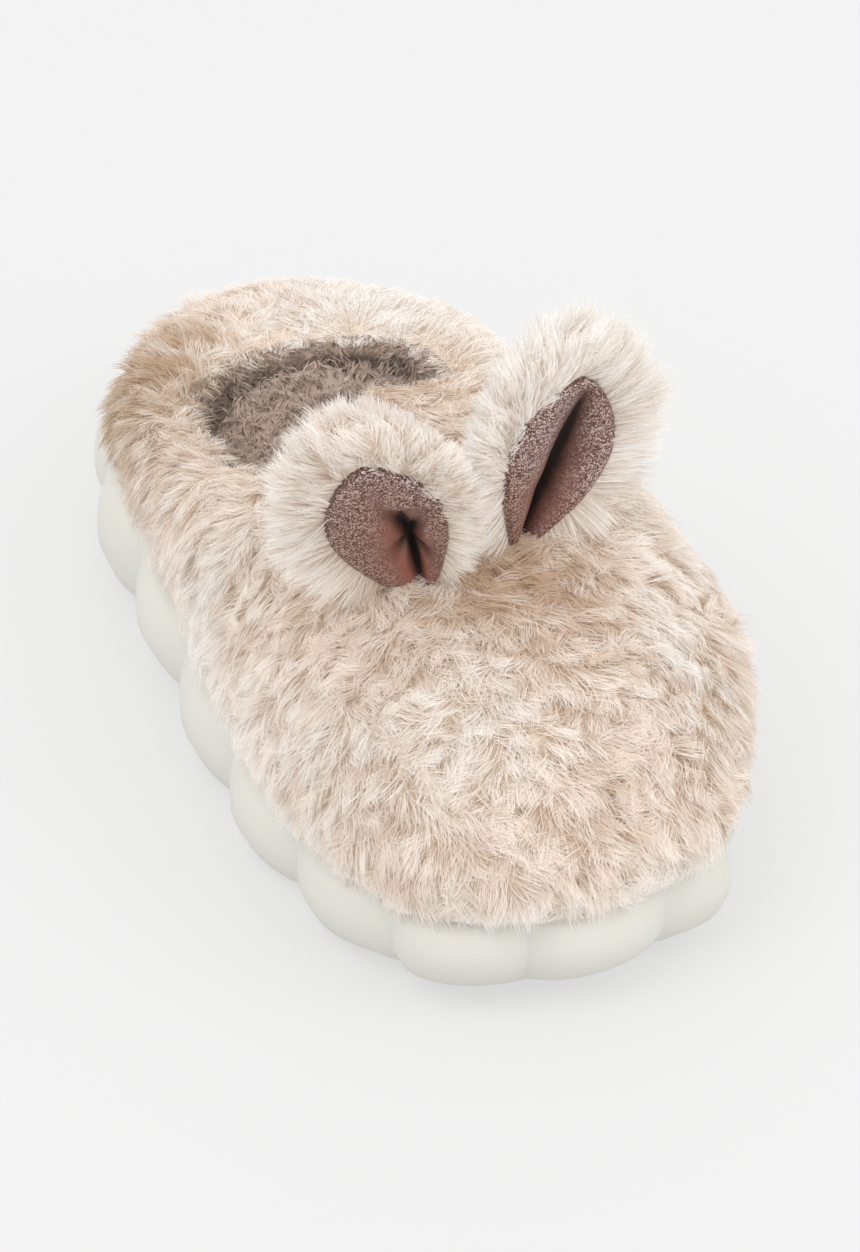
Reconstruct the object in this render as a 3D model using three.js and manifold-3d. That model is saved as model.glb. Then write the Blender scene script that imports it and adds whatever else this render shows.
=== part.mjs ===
import * as THREE from 'three';
import { mergeVertices } from 'three/addons/utils/BufferGeometryUtils.js';
import Module from 'manifold-3d';

// Plush animal slipper for the right foot, standing empty on its sole.
// The toe points to -Y, the heel to +Y, the inner (medial) side of the foot is +X and up is +Z.
// All sizes are millimetres, and the origin is on the floor under the middle of the sole.

// Sole
const SOLE_LENGTH = 268;
const BALL_WIDTH = 122;
const FOREFOOT_THICKNESS = 23;
const HEEL_THICKNESS = 28;
const TOE_SPRING = 7;
const ARCH_RISE = 3;
const SIDE_BULGE = 8;
const LOBE_COUNT = 17;
const LOBE_DEPTH = 4.8;
const LOBE_TURN = 0.25;
const TREAD_SLOT_WIDTH = 3.2;
const TREAD_SLOT_DEPTH = 1.6;
const TREAD_SLOT_LENGTH = 62;

// Footbed
const INSOLE_THICKNESS = 4.5;
const INSOLE_EDGE_ROUND = 3;
const INSOLE_SIDE_GAP = 1.6;

// Upper
const INSTEP_HEIGHT = 80;
const COLLAR_HALF_WIDTH = 37;
const SPINE_FRONT = 32;
const SPINE_BACK = 58;
const RIM_MARGIN = 5;
const COLLAR_PAD = 37;
const COLLAR_LIP = 9;
const FOREFOOT_SWELL = 12;
const ROOF_DROP = 9.1;
const LOWEST_ROOF_SHARE = 0.35;

// Pile of the plush, gathered in locks
const LOCK_LENGTH = 25;
const LOCK_WIDTH = 14;
const LOCK_THICKNESS = 5;
const LOCK_LIFT = 4;
const LOCK_SPACING = 20.5;
const LOCK_LOWEST_CLIMB = 0.035;
const LOCK_LIE_WAVE = 12;
const LOCK_SIZE_WAVE = 0.12;

// Ears and their patches
const EAR_LENGTH = 54;
const EAR_WIDTH = 40;
const EAR_THICKNESS = 11;
const EAR_FOLD = 10;
const EAR_WIDEST_AT = 0.58;
const EAR_SEAT_WIDTH_SHARE = 0.32;
const EAR_RIM_THICKNESS_SHARE = 0.35;
const EAR_TIP_THICKNESS_SHARE = 0.45;
const EAR_FOLD_FADE = 0.75;
const EAR_SEAT_RADIUS = 15;
const EAR_LOCK_LENGTH = 9;
const EAR_INNER_LOCK_LENGTH = 6;
const PATCH_THICKNESS = 1.2;
const PATCH_LENGTH = 47;
const PATCH_WIDTH = 28;
const PATCH_START = -0.06;
const PATCH_ROUND_FROM = 0.6;

// Gap between pieces that touch, and how deep a soft piece is cut where it rests on the sole
const CLEARANCE = 0.3;
const SEAT_DEPTH = 1.2;

// How finely the forms are drawn
const POINTS_PER_LOBE = 8;
const UPPER_STEPS = 48;
const EAR_SECTION_STEPS = 12;

// Outline of the sole: along is the share of the length from the toe tip to the heel tip,
// medial and lateral are shares of the ball width measured from the middle line
const SOLE_OUTLINE = [
  { along: 0.05, medial: 0.28, lateral: -0.303 },
  { along: 0.12, medial: 0.372, lateral: -0.386 },
  { along: 0.21, medial: 0.444, lateral: -0.45 },
  { along: 0.31, medial: 0.49, lateral: -0.487 },
  { along: 0.42, medial: 0.463, lateral: -0.499 },
  { along: 0.54, medial: 0.392, lateral: -0.499 },
  { along: 0.64, medial: 0.374, lateral: -0.496 },
  { along: 0.75, medial: 0.418, lateral: -0.488 },
  { along: 0.85, medial: 0.402, lateral: -0.432 },
  { along: 0.93, medial: 0.3, lateral: -0.315 },
  { along: 0.98, medial: 0.16, lateral: -0.171 },
];
const TOE_TIP = { along: 0, side: -0.04 };
const HEEL_TIP = { along: 1, side: -0.005 };

// Height of the sole along its length: spring is a share of the toe spring, arch a share of
// the arch rise, and top a share of the way from forefoot thickness to heel thickness
const SOLE_HEIGHTS = [
  { along: 0, spring: 1, arch: 0, top: 1.05 },
  { along: 0.05, spring: 0.7, arch: 0, top: 0.72 },
  { along: 0.12, spring: 0.3, arch: 0, top: 0.32 },
  { along: 0.2, spring: 0, arch: 0, top: 0.08 },
  { along: 0.3, spring: 0, arch: 0, top: 0 },
  { along: 0.42, spring: 0, arch: 0, top: 0.16 },
  { along: 0.56, spring: 0, arch: 1, top: 0.62 },
  { along: 0.7, spring: 0, arch: 0, top: 0.94 },
  { along: 0.8, spring: 0, arch: 0, top: 1 },
  { along: 0.94, spring: 0, arch: 0, top: 1.04 },
  { along: 1, spring: 0.2, arch: 0, top: 1.1 },
];

// Side of the sole from the floor up: rise is a share of the local thickness, inset a share
// of the side bulge, and lobe the share of the lobe depth that shows there
const SOLE_SIDE = [
  { rise: 0, inset: 1.45, lobe: 0.55 },
  { rise: 0.06, inset: 0.85, lobe: 0.75 },
  { rise: 0.2, inset: 0.32, lobe: 0.95 },
  { rise: 0.42, inset: 0.02, lobe: 1 },
  { rise: 0.64, inset: 0.03, lobe: 1 },
  { rise: 0.84, inset: 0.24, lobe: 0.85 },
  { rise: 0.95, inset: 0.48, lobe: 0.6 },
  { rise: 1, inset: 0.82, lobe: 0.4 },
];

// Sections of the upper, counted by the share of the way round the sole from the toe tip over
// the medial side. reach is the distance of the collar from the spine as a share of the collar
// half width, height a share of the instep height, pad a share of the collar pad measured at
// the footbed, lip a share of the collar lip, tuck how far the lip is undercut, swell a share
// of the forefoot swell and fullness the exponent of the arch
const UPPER_SECTIONS = [
  { around: 0, reach: 0.73, height: 1, pad: 0.19, lip: 0.75, tuck: 1, swell: 0.6, fullness: 2.15 },
  { around: 0.1, reach: 0.75, height: 0.99, pad: 0.19, lip: 0.75, tuck: 1, swell: 1.1, fullness: 2.2 },
  { around: 0.2, reach: 0.82, height: 0.95, pad: 0.19, lip: 0.75, tuck: 0.95, swell: 1.25, fullness: 2.25 },
  { around: 0.28, reach: 0.9, height: 0.76, pad: 0.22, lip: 0.75, tuck: 0.8, swell: 0.7, fullness: 2.2 },
  { around: 0.35, reach: 0.86, height: 0.55, pad: 0.32, lip: 0.8, tuck: 0.4, swell: 0.4, fullness: 2.1 },
  { around: 0.41, reach: 1.02, height: 0.5, pad: 0.68, lip: 0.9, tuck: 0.5, swell: 0.1, fullness: 2 },
  { around: 0.5, reach: 1.18, height: 0.435, pad: 1, lip: 1, tuck: 0.05, swell: 0, fullness: 2 },
  { around: 0.59, reach: 1.15, height: 0.49, pad: 0.75, lip: 1, tuck: 0.1, swell: 0, fullness: 2 },
  { around: 0.65, reach: 1.18, height: 0.56, pad: 0.55, lip: 0.95, tuck: 0.3, swell: 0, fullness: 2 },
  { around: 0.72, reach: 1.2, height: 0.69, pad: 0.38, lip: 0.85, tuck: 0.7, swell: 0.1, fullness: 2.1 },
  { around: 0.8, reach: 1.14, height: 0.84, pad: 0.22, lip: 0.75, tuck: 0.95, swell: 0.6, fullness: 2.2 },
  { around: 0.9, reach: 0.76, height: 0.99, pad: 0.19, lip: 0.75, tuck: 1, swell: 0.8, fullness: 2.2 },
];

// Locks lie in rows up the upper: climb is the share of the way from the sole to the collar,
// lie the angle in degrees between a lock and the straight way down, and size its scale
const LOCK_ROWS = [
  { climb: 0.17, lie: 10, size: 0.85 },
  { climb: 0.27, lie: -14, size: 0.95 },
  { climb: 0.37, lie: 16, size: 1 },
  { climb: 0.47, lie: -18, size: 1 },
  { climb: 0.57, lie: 12, size: 1 },
  { climb: 0.67, lie: -16, size: 1 },
  { climb: 0.77, lie: 18, size: 1 },
  { climb: 0.87, lie: -20, size: 0.9 },
  { climb: 0.95, lie: 24, size: 0.8 },
];
const LOCKS_TRIED_PER_ROW = 61;

// Ears: side is +1 for medial and -1 for lateral, seatX and seatY are where the ear is sewn
// on, outward and forward are its tilt in degrees, and face the turn of its front in degrees
const EARS = [
  { name: 'lateral', side: -1, seatX: -16, seatY: -53.5, outward: 20, forward: 14, face: -16 },
  { name: 'medial', side: 1, seatX: 7, seatY: -48.5, outward: 20, forward: 2, face: 31 },
];

const wasm = await Module();
wasm.setup();

// Closed solid from a list of points and a list of triangles, turned outwards if need be
function solidFrom(points, triangles) {
  let volume = 0;
  for (const [a, b, c] of triangles) {
    volume += points[a].dot(points[b].clone().cross(points[c]));
  }
  const facing = volume < 0 ? triangles.map(([a, b, c]) => [a, c, b]) : triangles;
  const vertProperties = new Float32Array(points.flatMap((p) => [p.x, p.y, p.z]));
  const triVerts = new Uint32Array(facing.flat());
  return new wasm.Manifold(new wasm.Mesh({ numProp: 3, vertProperties, triVerts }));
}

function solidFromGeometry(source) {
  const bare = source.clone();
  bare.deleteAttribute('normal');
  bare.deleteAttribute('uv');
  const merged = mergeVertices(bare, 1e-4);
  const vertProperties = new Float32Array(merged.attributes.position.array);
  const triVerts = new Uint32Array(merged.index.array);
  return new wasm.Manifold(new wasm.Mesh({ numProp: 3, vertProperties, triVerts }));
}

function geometryFromSolid(solid) {
  const mesh = solid.getMesh();
  const geometry = new THREE.BufferGeometry();
  geometry.setAttribute('position', new THREE.BufferAttribute(mesh.vertProperties, mesh.numProp));
  geometry.setIndex(new THREE.BufferAttribute(mesh.triVerts, 1));
  geometry.computeVertexNormals();
  return geometry;
}

function joined(solids) {
  return solids.reduce((whole, piece) => whole.add(piece));
}

// The outer body alone, with the small pockets shut in between its locks filled
function withoutPockets(solid) {
  return solid.decompose().reduce((most, body) => (body.volume() > most.volume() ? body : most));
}

// Two triangles between neighbouring points of two rows
function quad(a, b, c, d) {
  return [[a, b, c], [a, c, d]];
}

// Solid ring whose cross-section is a closed loop, carried once round
function ringSolid(sections) {
  const points = sections.flat();
  const size = sections[0].length;
  const triangles = [];
  for (let i = 0; i < sections.length; i++) {
    const here = i * size;
    const next = ((i + 1) % sections.length) * size;
    for (let j = 0; j < size; j++) {
      const k = (j + 1) % size;
      triangles.push(...quad(here + j, next + j, next + k, here + k));
    }
  }
  return solidFrom(points, triangles);
}

// Solid stacked from loops that start at the toe, closed by strips that run across it
function stackSolid(loops) {
  const size = loops[0].length;
  const points = loops.flat();
  const triangles = [];
  for (let i = 0; i + 1 < loops.length; i++) {
    for (let j = 0; j < size; j++) {
      const k = (j + 1) % size;
      triangles.push(...quad(i * size + j, i * size + k, (i + 1) * size + k, (i + 1) * size + j));
    }
  }
  const last = (loops.length - 1) * size;
  for (let j = 0; j < size / 2; j++) {
    const mirror = (size - j) % size;
    const nextMirror = size - j - 1;
    const strip = quad(j, j + 1, nextMirror, mirror).filter((t) => new Set(t).size === 3);
    triangles.push(...strip.map(([a, b, c]) => [a, c, b]));
    triangles.push(...strip.map((t) => t.map((index) => index + last)));
  }
  return solidFrom(points, triangles);
}

// Solid lofted through loops, with a flat start and a pointed end
function spikeSolid(loops, tip) {
  const size = loops[0].length;
  const points = [...loops.flat(), tip];
  const tipIndex = points.length - 1;
  const triangles = [];
  for (let j = 1; j + 1 < size; j++) {
    triangles.push([0, j + 1, j]);
  }
  for (let i = 0; i + 1 < loops.length; i++) {
    for (let j = 0; j < size; j++) {
      const k = (j + 1) % size;
      triangles.push(...quad(i * size + j, i * size + k, (i + 1) * size + k, (i + 1) * size + j));
    }
  }
  const last = (loops.length - 1) * size;
  for (let j = 0; j < size; j++) {
    triangles.push([last + j, last + ((j + 1) % size), tipIndex]);
  }
  return solidFrom(points, triangles);
}

// Smooth value between two neighbouring rows of a table, with slopes from the rows beyond them
function hermite(before, from, to, after, key, value, position) {
  const span = position(to) - position(from);
  const slopeFrom = (to[key] - before[key]) / (position(to) - position(before));
  const slopeTo = (after[key] - from[key]) / (position(after) - position(from));
  const t = (value - position(from)) / span;
  const t2 = t * t;
  const t3 = t2 * t;
  return (2 * t3 - 3 * t2 + 1) * from[key] + (t3 - 2 * t2 + t) * span * slopeFrom
    + (3 * t2 - 2 * t3) * to[key] + (t3 - t2) * span * slopeTo;
}

// Column of a table of heights along the sole, held at its ends
function alongColumn(rows, key, along) {
  const share = Math.min(Math.max(along, 0), 1);
  let i = 0;
  while (i + 2 < rows.length && rows[i + 1].along < share) i++;
  const before = i > 0 ? rows[i - 1] : { ...rows[0], along: -rows[1].along };
  const end = rows.length - 1;
  const after = i + 2 < rows.length ? rows[i + 2] : { ...rows[end], along: 2 - rows[end - 1].along };
  return hermite(before, rows[i], rows[i + 1], after, key, share, (row) => row.along);
}

// Column of the table of upper sections, carried round without a seam
function aroundColumn(key, around) {
  const share = around - Math.floor(around);
  const count = UPPER_SECTIONS.length;
  let i = 0;
  while (i + 1 < count && UPPER_SECTIONS[i + 1].around <= share) i++;
  const row = (index) => {
    const laps = Math.floor(index / count);
    const source = UPPER_SECTIONS[index - laps * count];
    return { ...source, around: source.around + laps };
  };
  return hermite(row(i - 1), row(i), row(i + 1), row(i + 2), key, share, (r) => r.around);
}

// Plan of the sole

function planPoint(along, side) {
  return new THREE.Vector3(side * BALL_WIDTH, (along - 0.5) * SOLE_LENGTH, 0);
}

const outlinePoints = [
  planPoint(TOE_TIP.along, TOE_TIP.side),
  ...SOLE_OUTLINE.map((row) => planPoint(row.along, row.medial)),
  planPoint(HEEL_TIP.along, HEEL_TIP.side),
  ...SOLE_OUTLINE.toReversed().map((row) => planPoint(row.along, row.lateral)),
];
const outlineCurve = new THREE.CatmullRomCurve3(outlinePoints, true, 'centripetal');
outlineCurve.arcLengthDivisions = 1200;

// Point of the outline, moved inwards by inset
function outlineAt(around, inset) {
  const share = around - Math.floor(around);
  const point = outlineCurve.getPointAt(share);
  const tangent = outlineCurve.getTangentAt(share);
  const inwards = new THREE.Vector3(-tangent.y, tangent.x, 0);
  return point.addScaledVector(inwards, inset);
}

function soleBottom(y) {
  const along = y / SOLE_LENGTH + 0.5;
  const spring = alongColumn(SOLE_HEIGHTS, 'spring', along);
  const arch = alongColumn(SOLE_HEIGHTS, 'arch', along);
  return Math.max(0, spring * TOE_SPRING + arch * ARCH_RISE);
}

function soleTop(y) {
  const share = alongColumn(SOLE_HEIGHTS, 'top', y / SOLE_LENGTH + 0.5);
  return FOREFOOT_THICKNESS + share * (HEEL_THICKNESS - FOREFOOT_THICKNESS);
}

// The sole without its tread, grown by a gap for the pieces that rest on it
function soleSolid(grown = 0) {
  const count = LOBE_COUNT * POINTS_PER_LOBE;
  const loops = SOLE_SIDE.map((level) => {
    const loop = [];
    for (let i = 0; i < count; i++) {
      const around = i / count;
      const acrossLobe = ((i / POINTS_PER_LOBE + 1.5 - LOBE_TURN) % 1) * 2 - 1;
      const scallop = LOBE_DEPTH * level.lobe * acrossLobe ** 2;
      const point = outlineAt(around, SIDE_BULGE * level.inset + scallop - grown);
      const bottom = soleBottom(point.y);
      point.z = bottom + level.rise * (soleTop(point.y) + grown - bottom);
      loop.push(point);
    }
    return loop;
  });
  return stackSolid(loops);
}

// Cross slots of the tread, in the forefoot and heel pads
function treadSlots() {
  const pads = [
    { first: 0.2, last: 0.44, count: 5 },
    { first: 0.74, last: 0.9, count: 4 },
  ];
  const slots = [];
  for (const pad of pads) {
    for (let i = 0; i < pad.count; i++) {
      const along = pad.first + (i * (pad.last - pad.first)) / (pad.count - 1);
      const box = new THREE.BoxGeometry(TREAD_SLOT_LENGTH, TREAD_SLOT_WIDTH, 2 * TREAD_SLOT_DEPTH);
      box.translate(0, (along - 0.5) * SOLE_LENGTH, 0);
      slots.push(solidFromGeometry(box));
    }
  }
  return joined(slots);
}

// Upper

// Plan frame of one section: its foot on the sole, its place on the spine and its direction
function sectionFrame(around) {
  const foot = outlineAt(around, RIM_MARGIN);
  const onSpine = Math.min(Math.max(foot.y, SPINE_FRONT), SPINE_BACK);
  const root = new THREE.Vector3(0, onSpine, 0);
  const outwards = foot.clone().sub(root);
  const distance = outwards.length();
  outwards.divideScalar(distance);
  return { root, outwards, distance };
}

// Point of a section from its distance to the spine and its height
function sectionPoint(frame, distance, height) {
  const point = frame.root.clone().addScaledVector(frame.outwards, distance);
  point.z = height;
  return point;
}

// Outer skin: climb is 0 on the sole and 1 on the crest of the collar
function outerSkin(around, climb, proud = 0) {
  const frame = sectionFrame(around);
  const fullness = 2 / aroundColumn('fullness', around);
  const angle = (climb * Math.PI) / 2;
  const rising = Math.sin(angle) ** fullness;
  const leaning = 1 - Math.cos(angle) ** fullness;
  const crest = aroundColumn('reach', around) * COLLAR_HALF_WIDTH;
  const crestHeight = aroundColumn('height', around) * INSTEP_HEIGHT;
  const swell = aroundColumn('swell', around) * FOREFOOT_SWELL * Math.sin(Math.PI * rising) * (1 - climb);
  const distance = frame.distance + (crest - frame.distance) * leaning + swell;
  const base = soleTop(sectionPoint(frame, frame.distance, 0).y) - SEAT_DEPTH;
  const height = base + (crestHeight - base) * rising;
  return sectionPoint(frame, distance + proud * Math.cos(angle), height + proud * Math.sin(angle));
}

// Closed loop of one section: outer skin, rounded lip and inner skin, back to the sole
function upperSection(around, proud = 0) {
  const frame = sectionFrame(around);
  const pad = aroundColumn('pad', around) * COLLAR_PAD;
  const lip = aroundColumn('lip', around) * COLLAR_LIP;
  const tuck = aroundColumn('tuck', around);
  const fullness = 2 / aroundColumn('fullness', around);
  const crest = aroundColumn('reach', around) * COLLAR_HALF_WIDTH;
  const crestHeight = aroundColumn('height', around) * INSTEP_HEIGHT;
  const innerFoot = frame.distance - pad;
  const base = soleTop(sectionPoint(frame, innerFoot, 0).y) - SEAT_DEPTH;
  const roof = Math.max(crestHeight - ROOF_DROP, base + LOWEST_ROOF_SHARE * (crestHeight - base));
  const lipHeight = (crestHeight + roof) / 2;
  const lipDistance = crest - lip;
  const roofDistance = lipDistance + tuck * lip;

  const loop = [0, 0.09, 0.19, 0.31, 0.45, 0.59, 0.73, 0.87, 1]
    .map((climb) => outerSkin(around, climb, proud));
  for (const turn of [30, 60, 90]) {
    const angle = THREE.MathUtils.degToRad(turn);
    const distance = crest - lip * Math.sin(angle);
    const height = lipHeight + (crestHeight - lipHeight + proud) * Math.cos(angle);
    loop.push(sectionPoint(frame, distance, height));
  }
  loop.push(sectionPoint(frame, lipDistance + (roofDistance - lipDistance) * 0.3, (lipHeight + roof) / 2));
  for (const climb of [1, 0.76, 0.54, 0.34, 0.17, 0]) {
    const angle = (climb * Math.PI) / 2;
    const leaning = 1 - Math.cos(angle) ** fullness;
    const rising = Math.sin(angle) ** fullness;
    const distance = innerFoot + (roofDistance - innerFoot) * leaning;
    loop.push(sectionPoint(frame, distance, base + (roof - base) * rising));
  }
  return loop;
}

function upperShell(proud = 0) {
  const sections = [];
  for (let i = 0; i < UPPER_STEPS; i++) {
    sections.push(upperSection(i / UPPER_STEPS, proud));
  }
  return ringSolid(sections);
}

// Directions on the outer skin: round the shoe, down to the sole and straight out
function skinFrame(around, climb) {
  const step = 0.004;
  const here = outerSkin(around, climb);
  const round = outerSkin(around + step, climb).sub(here).divideScalar(step);
  const down = outerSkin(around, Math.max(climb - step, 0)).sub(here).divideScalar(-step).negate();
  const out = round.clone().cross(down).normalize();
  if (out.dot(here.clone().setZ(here.z - FOREFOOT_THICKNESS)) < 0) out.negate();
  return { here, round, down, out };
}

// One lock of pile: a flat tapered tuft that lies along the skin and lifts towards its tip
function lockSolid(stations, tip, across, out, width, thickness) {
  const loops = stations.map((station) => {
    const halfWidth = (station.width * width) / 2;
    const halfThickness = (station.width * thickness) / 2;
    return [[1, -1], [0, 1], [-1, -1]].map(([a, b]) => station.at.clone()
      .addScaledVector(across, a * halfWidth).addScaledVector(out, b * halfThickness));
  });
  return spikeSolid(loops, tip);
}

function skinLock(around, climb, lie, size) {
  const frame = skinFrame(around, climb);
  const angle = THREE.MathUtils.degToRad(lie);
  const length = LOCK_LENGTH * size;
  const climbRate = (Math.cos(angle) * length) / frame.down.length();
  const aroundRate = (Math.sin(angle) * length) / frame.round.length();
  const placeAt = (share, lift) => {
    const lower = Math.max(climb - climbRate * share, LOCK_LOWEST_CLIMB);
    const place = skinFrame(around + aroundRate * share, lower);
    return place.here.addScaledVector(place.out, lift);
  };
  const tip = placeAt(1, LOCK_LIFT);
  const along = tip.clone().sub(frame.here).normalize();
  const across = along.clone().cross(frame.out).normalize();
  const stations = [
    { at: placeAt(0, -LOCK_THICKNESS / 4), width: 0.7 },
    { at: placeAt(0.5, LOCK_LIFT * 0.3), width: 1 },
  ];
  return lockSolid(stations, tip, across, frame.out, LOCK_WIDTH * size, LOCK_THICKNESS * size);
}

// Locks over the whole skin, each placed where no lock lies nearer than the spacing, and left
// out where an ear is sewn on
function upperLocks() {
  const locks = [];
  const placed = EARS.map((ear) => ({ at: earSeat(ear), spacing: EAR_SEAT_RADIUS }));
  LOCK_ROWS.forEach((row, index) => {
    for (let i = 0; i < LOCKS_TRIED_PER_ROW; i++) {
      const around = (i + (index % 2) / 2) / LOCKS_TRIED_PER_ROW;
      const here = outerSkin(around, row.climb);
      if (placed.every((other) => other.at.distanceTo(here) > other.spacing)) {
        const wave = Math.sin(i * 2.4 + index);
        locks.push(skinLock(around, row.climb, row.lie + LOCK_LIE_WAVE * wave, row.size * (1 + LOCK_SIZE_WAVE * wave)));
        placed.push({ at: here, spacing: LOCK_SPACING });
      }
    }
  });
  return locks;
}

function buildUpper() {
  const plush = joined([upperShell(), ...upperLocks()]);
  return withoutPockets(plush.subtract(soleSolid(CLEARANCE)));
}

// Footbed, cut to the inner foot of the upper
function buildInsole() {
  const levels = [
    { inset: 0, height: 0 },
    { inset: INSOLE_EDGE_ROUND * 0.2, height: INSOLE_THICKNESS - INSOLE_EDGE_ROUND },
    { inset: INSOLE_EDGE_ROUND * 0.6, height: INSOLE_THICKNESS - INSOLE_EDGE_ROUND * 0.35 },
    { inset: INSOLE_EDGE_ROUND * 1.4, height: INSOLE_THICKNESS },
  ];
  const loops = levels.map((level) => {
    const loop = [];
    for (let i = 0; i < UPPER_STEPS; i++) {
      const around = i / UPPER_STEPS;
      const frame = sectionFrame(around);
      const pad = aroundColumn('pad', around) * COLLAR_PAD;
      const point = sectionPoint(frame, frame.distance - pad - INSOLE_SIDE_GAP - level.inset, 0);
      point.z = soleTop(point.y) + CLEARANCE + level.height;
      loop.push(point);
    }
    return loop;
  });
  return stackSolid(loops);
}

// Ears

// Height of the upper's skin above one place of the vamp
function skinHeight(x, y) {
  let best = Infinity;
  let height = 0;
  for (let i = 0; i < 80; i++) {
    for (let j = 20; j <= 60; j++) {
      const point = outerSkin(i / 80 - 0.5, j / 60);
      const miss = Math.hypot(point.x - x, point.y - y);
      if (miss < best) {
        best = miss;
        height = point.z;
      }
    }
  }
  return height;
}

// Place where an ear is sewn on
function earSeat(ear) {
  return new THREE.Vector3(ear.seatX, ear.seatY, skinHeight(ear.seatX, ear.seatY));
}

// Frame of an ear: its seat, its axis, its width and its front
function earFrame(ear) {
  const seat = earSeat(ear);
  const outward = THREE.MathUtils.degToRad(ear.outward) * ear.side;
  const forward = THREE.MathUtils.degToRad(ear.forward);
  const turn = THREE.MathUtils.degToRad(ear.face);
  const axis = new THREE.Vector3(Math.sin(outward), -Math.sin(forward), Math.cos(outward)).normalize();
  const facing = new THREE.Vector3(Math.sin(turn), -Math.cos(turn), 0);
  const front = facing.addScaledVector(axis, -facing.dot(axis)).normalize();
  const across = axis.clone().cross(front).normalize();
  return { seat, axis, front, across };
}

// Half width of an ear along its length, pinched where it is sewn on and round at its tip
function earHalfWidth(along) {
  if (along > EAR_WIDEST_AT) {
    const towardsTip = (along - EAR_WIDEST_AT) / (1 - EAR_WIDEST_AT);
    return (EAR_WIDTH / 2) * Math.sqrt(Math.max(0, 1 - towardsTip ** 2));
  }
  const fromSeat = Math.max(along, 0) / EAR_WIDEST_AT;
  const widening = (1 - EAR_SEAT_WIDTH_SHARE) * Math.sin((fromSeat * Math.PI) / 2);
  return (EAR_WIDTH / 2) * (EAR_SEAT_WIDTH_SHARE + widening);
}

// Point of an ear: along runs from seat to tip, across from -1 to 1 and depth from back to front
function earPoint(frame, along, across, depth) {
  const halfWidth = earHalfWidth(along);
  const curl = Math.abs(across) ** 1.3 * (halfWidth / (EAR_WIDTH / 2));
  const fold = EAR_FOLD * (1 - EAR_FOLD_FADE * along) * curl;
  return frame.seat.clone()
    .addScaledVector(frame.axis, along * EAR_LENGTH)
    .addScaledVector(frame.across, across * halfWidth)
    .addScaledVector(frame.front, fold + depth);
}

// Half thickness of an ear, full in the middle and thin at its rim
function earHalfThickness(along, across) {
  const rim = Math.sqrt(Math.max(0, 1 - across ** 2));
  const tip = Math.sqrt(Math.max(0, 1 - Math.max(0, (along - 0.5) / 0.5) ** 4));
  const acrossShare = EAR_RIM_THICKNESS_SHARE + (1 - EAR_RIM_THICKNESS_SHARE) * rim;
  const alongShare = EAR_TIP_THICKNESS_SHARE + (1 - EAR_TIP_THICKNESS_SHARE) * tip;
  return (EAR_THICKNESS / 2) * acrossShare * alongShare;
}

function earBody(frame) {
  const stations = [-0.16, 0.02, 0.18, 0.34, 0.5, 0.64, 0.77, 0.88, 0.96];
  const loops = stations.map((along) => {
    const loop = [];
    for (let i = 0; i < EAR_SECTION_STEPS; i++) {
      const angle = (i / EAR_SECTION_STEPS) * 2 * Math.PI;
      const across = Math.cos(angle);
      const depth = earHalfThickness(along, across) * Math.sin(angle);
      loop.push(earPoint(frame, along, across, depth));
    }
    return loop;
  });
  return spikeSolid(loops, earPoint(frame, 1, 0, 0));
}

// Locks that stand out from the rim of an ear, and three down its back
function earLocks(frame, outerSide) {
  const locks = [];
  const rim = [{ along: 0.97, side: 0 }, { along: 0.24, side: outerSide }];
  for (const along of [0.46, 0.66, 0.84]) {
    rim.push({ along, side: -1 }, { along, side: 1 });
  }
  for (const place of rim) {
    const root = earPoint(frame, place.along, place.side * 0.84, 0);
    const middle = earPoint(frame, 0.42, 0, 0);
    const outwards = root.clone().sub(middle);
    outwards.addScaledVector(frame.front, -outwards.dot(frame.front)).normalize();
    const across = outwards.clone().cross(frame.front).normalize();
    const length = place.side === -outerSide ? EAR_INNER_LOCK_LENGTH : EAR_LOCK_LENGTH;
    const tip = root.clone().addScaledVector(outwards, length);
    const middleOfLock = root.clone().lerp(tip, 0.42);
    const stations = [{ at: root, width: 0.9 }, { at: middleOfLock, width: 1 }];
    locks.push(lockSolid(stations, tip, across, frame.front, LOCK_WIDTH, EAR_THICKNESS * 0.6));
  }
  for (const place of [[0.2, 0], [0.42, -0.45], [0.42, 0.45]]) {
    const root = earPoint(frame, ...place, -EAR_THICKNESS * 0.25);
    const tip = root.clone().addScaledVector(frame.axis, EAR_LOCK_LENGTH)
      .addScaledVector(frame.front, -LOCK_LIFT * 1.6);
    const stations = [{ at: root, width: 0.8 }, { at: root.clone().lerp(tip, 0.5), width: 1 }];
    locks.push(lockSolid(stations, tip, frame.across, frame.front, LOCK_WIDTH, EAR_THICKNESS * 0.5));
  }
  return locks;
}

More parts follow.
